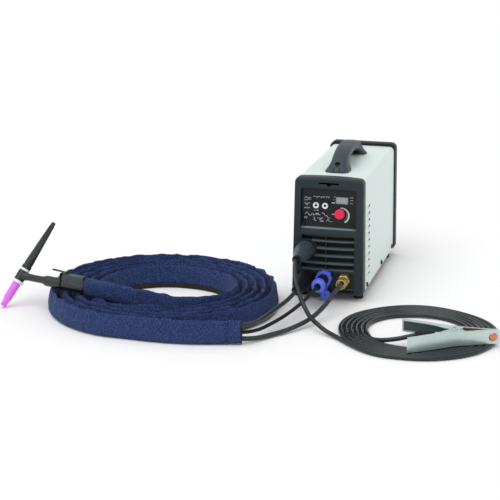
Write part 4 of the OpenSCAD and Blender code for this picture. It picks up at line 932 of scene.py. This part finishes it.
# ---- torch ----
def torch():
    side = unit(np.cross(Z, GB))

    def knurl(t, a, r):
        if r < 9 or not (62 < t < 95 or 102 < t < 146):
            return r
        u, v = t * 1.05 + a * 9.5, t * 1.05 - a * 9.5
        return r + 0.28 * (abs(math.cos(u / 1.9)) + abs(math.cos(v / 1.9))) - 0.3

    grip = [(54, 6.6), (54, 7.4), (58, 8.8), (60, 9.5), (95, 9.5), (148, 9.5), (152, 9.5), (152, 6.6)]
    handle_ob = lathe("torch_handle_look", "torch_black", grip, HEAD, GB, 96, 0.6, 0.9, knurl, True,
                      nodes=("torch_handle",))
    plug = [(140, 0.02), (140, 6.7), (151.4, 6.7), (151.4, 0.02)]
    lathe("torch_handle_end", "torch_black", plug, HEAD, GB, 32, 0.4, look=DARK)

    neck = [(2, 0.02), (2, 8.2), (8, 8.4), (13, 7.0), (18, 6.5), (50, 6.5), (52, 7.0), (53.6, 7.0),
            (54.4, 6.5), (66, 6.5), (66, 0.02)]
    head = [(-10, 5.6), (-10, 9.0), (-9, 9.5), (-3, 9.5), (9, 9.6), (10, 9.1), (10, 5.6)]
    mark = prism(rounded(-2.2, 2.2, -1.2, 1.2, 0.5), HEAD + 34 * GB + 6.35 * Z, GB, side, Z, 0, 0.35)
    place(build("torch_head_look", turned(round_off(neck, 1.2), HEAD, GB, 48),
                turned(round_off(head, 0.8), HEAD, TA, 56, loop=True)), "torch_black", nodes=("torch_head",))
    place(build("torch_neck_mark", mark), "torch_black", look=PRINT)

    def ribs(t, a, r):
        if 26 < t < 108:
            return r + 0.34 * math.cos(16 * a)
        return r + 0.3 * math.cos(28 * a) if 15.5 < t < 21.5 and r > 8 else r

    cap = [(4, 2.5), (4, 5.4), (14.6, 5.4), (14.6, 8.2), (15.4, 8.7), (21.6, 8.6), (22.8, 7.6), (24, 8.1),
           (60, 6.5), (110, 4.2), (114.4, 3.9), (115.6, 2.8), (115.6, 0.02)]
    lathe("back_cap_look", "torch_black", cap, HEAD, TA, 96, 0.7, 2.5, ribs, body="torch_cap",
          nodes=("back_cap",))
    upper = round_off([(10, 5.6), (10, 8.9), (11, 9.3), (13.6, 9.3), (14.5, 8.8), (14.5, 5.6)], 0.5)
    lower = round_off([(-10, 5.6), (-10, 10.2), (-11, 10.8), (-14.6, 10.8), (-15.5, 10.2), (-15.5, 5.6)], 0.6)
    gaskets = [turned(prof, HEAD, TA, 56, loop=True) for prof in (upper, lower)]
    place(build("torch_gaskets_look", *gaskets), "gasket_white", nodes=("torch_gaskets",))
    cup = [(-15.5, 5.5), (-15.5, 7.6), (-16.5, 7.9), (-24, 7.9), (-25, 7.6), (-47.5, 7.6), (-49, 7.2),
           (-53.5, 5.9), (-54.5, 5.7), (-63.6, 5.7), (-64.5, 5.3), (-64.5, 4.4), (-35.5, 4.4), (-35.5, 5.5)]
    lathe("ceramic_nozzle_look", "nozzle_pink", cup, HEAD, TA, 64, 0.6, loop=True, nodes=("ceramic_nozzle",))

    hollow = [bore(HEAD, 9.56, 90, 158, GB, 64)]
    block = [[99, 2], [99, 13], [100, 17.5], [103.5, 20.2], [110, 20.6], [142, 20.6], [147, 19.6], [149, 17],
             [149, 2]]
    body = soften(build("trigger_housing_look", prism(block, HEAD, GB, Z, side, -6.5, 6.5)), 1.2, 3, 30)
    place(carve(body, hollow), "trigger_grey", nodes=("trigger_housing",))
    loop = [[7.8, 19.6], [6.2, 21.8], [-6.2, 21.8], [-7.8, 19.6]]
    loop = np.concatenate([arc(0, 0, 11, 135, 405, 30), loop])
    straps = build("trigger_straps", *[prism(loop, HEAD, side, Z, GB, u, u + 2.5) for u in (96.5, 149)])
    place(soften(carve(straps, hollow), 0.4, 2, 50), "trigger_grey", look=DARK)
    lugs = [prism(rounded(103.5, 108.5, 19, 24.6, 1.6), HEAD, GB, Z, side, *sorted((k * 5, k * 6.5)))
            for k in (1, -1)]
    place(build("trigger_lugs", *lugs), "trigger_grey")
    clips = []
    for k in (1, -1):
        for x0, x1 in ((104, 112), (136, 144)):
            clips.append(prism(rounded(x0, x1, 8, 13, 1), HEAD, GB, Z, side, k * 6.3, k * 7.1))
        clips.append(prism(rounded(115, 133, 10.6, 12, 0.5, n=3), HEAD, GB, Z, side, k * 6.3, k * 6.9))
    place(build("trigger_clips", *clips), "trigger_grey")
    refined("trigger_lever", 0.3)
    return [handle_ob, body]


# ---- clamp ----
def clamp():
    pieces = []
    arm_out = smooth([[75, 5], [52, 8], [22, 15], [0, 20], [-28, 33], [-60, 47], [-84, 56]], 6)
    arm_in = smooth([[-84, 54.4], [-60, 45.4], [-28, 31.4], [0, 18.4], [22, 13.4], [52, 6.4], [75, 3.4]], 6)
    back = smooth([[74.5, 4.4], [52, 7.4], [22, 14.4], [0, 19.4], [-28, 32.4], [-60, 46.4], [-83.5, 55.3]], 6)
    edge = smooth([[-83.5, 47.5], [-72, 42.5], [-60, 37], [-42, 28.5], [-28, 20], [-16, 8]], 6)
    ear = arc(0, 0, 9.5, 150, 385, 22)
    tip = smooth([[14, 5], [17, 12.2], [30, 9.8], [40, 7.4], [52, 4.4], [74.5, 1.6]], 6)
    flange = np.concatenate([back, edge[:-1], ear, tip[1:]])
    web = np.concatenate([arm_out, arm_in])
    for node, m, low, high in (("clamp_fixed_arm", -1, 0, 25), ("clamp_moving_arm", 1, 1.9, 23.1)):
        f = np.array([1, m])
        ob = build(node + "_look", prism(web * f, PIVOT, CU, CV, Z, low, high),
                   *[prism(flange * f, PIVOT, CU, CV, Z, z, z + 1.5) for z in (low, high - 1.5)])
        carve(ob, [bore(PIVOT, 4.05, low - 2, high + 2, Z, 32)])
        soften(ob, 0.45, 2, 50)
        pieces.append(place(ob, "clamp_plated", BODY[node], (node,), sharp=35))
        cut = [p for p in arm_in if 14 < p[0] < 75]
        lining = np.array(cut + [[x, y - 1.6] for x, y in cut[::-1]])
        rivet = round_off([(-1, 0.02), (-1, 7.6), (0.8, 7.4), (2.2, 5.4), (2.8, 0.02)], 0.7)
        rivet = turned(rivet, clamp_pt(64, m * 6.3), m * CV, 32)
        lug = prism(lining * f, PIVOT, CU, CV, Z, 4.5, 20.5)
        teeth = [bore(clamp_pt(u, m * (np.interp(u, arm_in[:, 0], arm_in[:, 1]) - 1.7)), 0.8, -8, 8, Z, 10)
                 for u in range(46, 74, 4)]
        pieces.append(place(build(node + "_jaw", lug, rivet, *teeth), "copper", BODY[node]))
        # A darker sheet just inside each arm's channel is painted shade on the channel's inner face.
        shade = np.array([p for p in arm_in if -82 < p[0] < -4])
        shade = np.concatenate([shade - [0, 0.05], shade[::-1] - [0, 0.5]])
        pieces.append(place(build(node + "_channel_shade_sheet", prism(shade * f, PIVOT, CU, CV, Z, low + 1.6, high - 1.6)),
                            "clamp_plated", BODY[node], look=SHADE))
    lug = round_off([(-40, 4.1), (-40, 5.5), (-22, 5.5), (-22, 0.5), (-29, 0.5), (-29, 4.1)], 0.5)
    lug = turned(lug, clamp_pt(0), CU, 32, loop=True)
    tongue = prism([[-34, -3], [-24, -3], [-14, -25.6], [-24, -30.3]], PIVOT, CU, CV, Z, 11, 14)
    pieces.append(place(build("cable_lug", lug, tongue), "clamp_plated"))
    sock = [(-66, 4.1), (-66, 6.0), (-62, 7.6), (-36, 7.8), (-33, 6.6), (-33, 4.1)]
    pieces.append(lathe("lug_sleeve", "clamp_plated", sock, clamp_pt(0), CU, 32, 0.9, loop=True, look=DARK))
    eye = []
    for z in (-1.0, 25.0):
        rim = round_off([(z, 2.4), (z, 6.8), (z + 1.0, 6.4), (z + 1.0, 2.4)], 0.4)
        eye.append(turned(rim, PIVOT, Z, 40, loop=True))
    tube = turned([(-0.8, 2.1), (-0.8, 3.95), (25.8, 3.95), (25.8, 2.1)], PIVOT, Z, 40, loop=True)
    pieces.append(place(build("clamp_eyelet", tube, *eye), "plated_steel", nodes=("clamp_pin",)))
    a = np.radians(np.arange(0, 4 * 360 + 1, 12))
    helix = PIVOT + np.stack([6.4 * np.cos(a), 6.4 * np.sin(a), 4.8 + 15.2 * a / a[-1]], 1)
    spring = build("clamp_spring_look", sweep(helix, 1.25, 10))
    pieces.append(place(spring, "plated_steel", nodes=("clamp_spring",)))
    return pieces


# ---- back ----
def rear():
    for node in ("rear_bezel", "rear_panel", "fan_frame", "fan_rotor", "power_switch", "power_rocker",
                 "mains_gland", "gas_inlet", "base_tray"):
        refined(node, 0.4)
    hub = (0, 0, 86)
    section = [(1.1 * math.sin(b), 1.1 * math.cos(b)) for b in np.radians(np.arange(0, 360, 45))]
    guard = []
    for r in (11.8, 22.8, 33.8, 43.8):
        guard.append(turned([(164.6 + t, r + q) for t, q in section], hub, Y, 72, loop=True))
    eyelet = round_off([(163.6, 2.2), (163.6, 4.6), (165.8, 4.6), (165.8, 2.2)], 0.5)
    for a in np.radians(range(45, 360, 90)):
        c = np.array([math.cos(a), 0, math.sin(a)])
        guard.append(sweep(np.array([hub + 165.6 * Y + r * c for r in (10, 30, 54)]), 1.1, 10))
        guard.append(turned(eyelet, hub + 58 * c, Y, 32, loop=True))
    place(build("fan_guard_look", *guard), "guard_steel", nodes=("fan_guard",))


# ---- put together ----
front_bezel()
front_grille()
case_cover()
handle()
feet()
refined("screws", 0.3)
panel()
plugs()
rear()
leads()
earth_lead(clamp())
sleeve(torch())
for name, node in frame["nodes"].items():
    if not node.hide_render:
        node.data.materials.clear()
        node.data.materials.append(LOOK[SLOT[name]])

# ---- floor, light and camera ----
scene = bpy.context.scene
reach = 20000
corners = [[x * reach, y * reach, -0.3] for x, y in ((-1, -1), (1, -1), (1, 1), (-1, 1))]
floor = build("floor", (corners, [[0, 1, 2, 3]]))
floor.data.materials.append(material("floor_white", (252, 252, 252), 0.95, vary=0.002, gloss=0.0))
world = bpy.data.worlds.new("studio")
scene.world = world
world.use_nodes = True
world.node_tree.nodes["Background"].inputs["Color"].default_value = (1.0, 1.0, 1.0, 1.0)
world.node_tree.nodes["Background"].inputs["Strength"].default_value = 0.75
key = bpy.data.objects.new("key", bpy.data.lights.new("key", "SUN"))
key.data.angle, key.data.energy = math.radians(60), 1.05
key.rotation_euler = Vector((0.6, 1.0, -2.4)).to_track_quat("-Z", "Y").to_euler()
scene.collection.objects.link(key)
camera = bpy.data.objects.new("camera", bpy.data.cameras.new("camera"))
camera.data.angle = math.radians(20.0)
camera.location = (0.522, -2.643, 0.815)
camera.rotation_euler = (math.radians(74.1), 0, math.radians(15.2))
scene.collection.objects.link(camera)
scene.camera = camera
scene.view_settings.view_transform = "Standard"
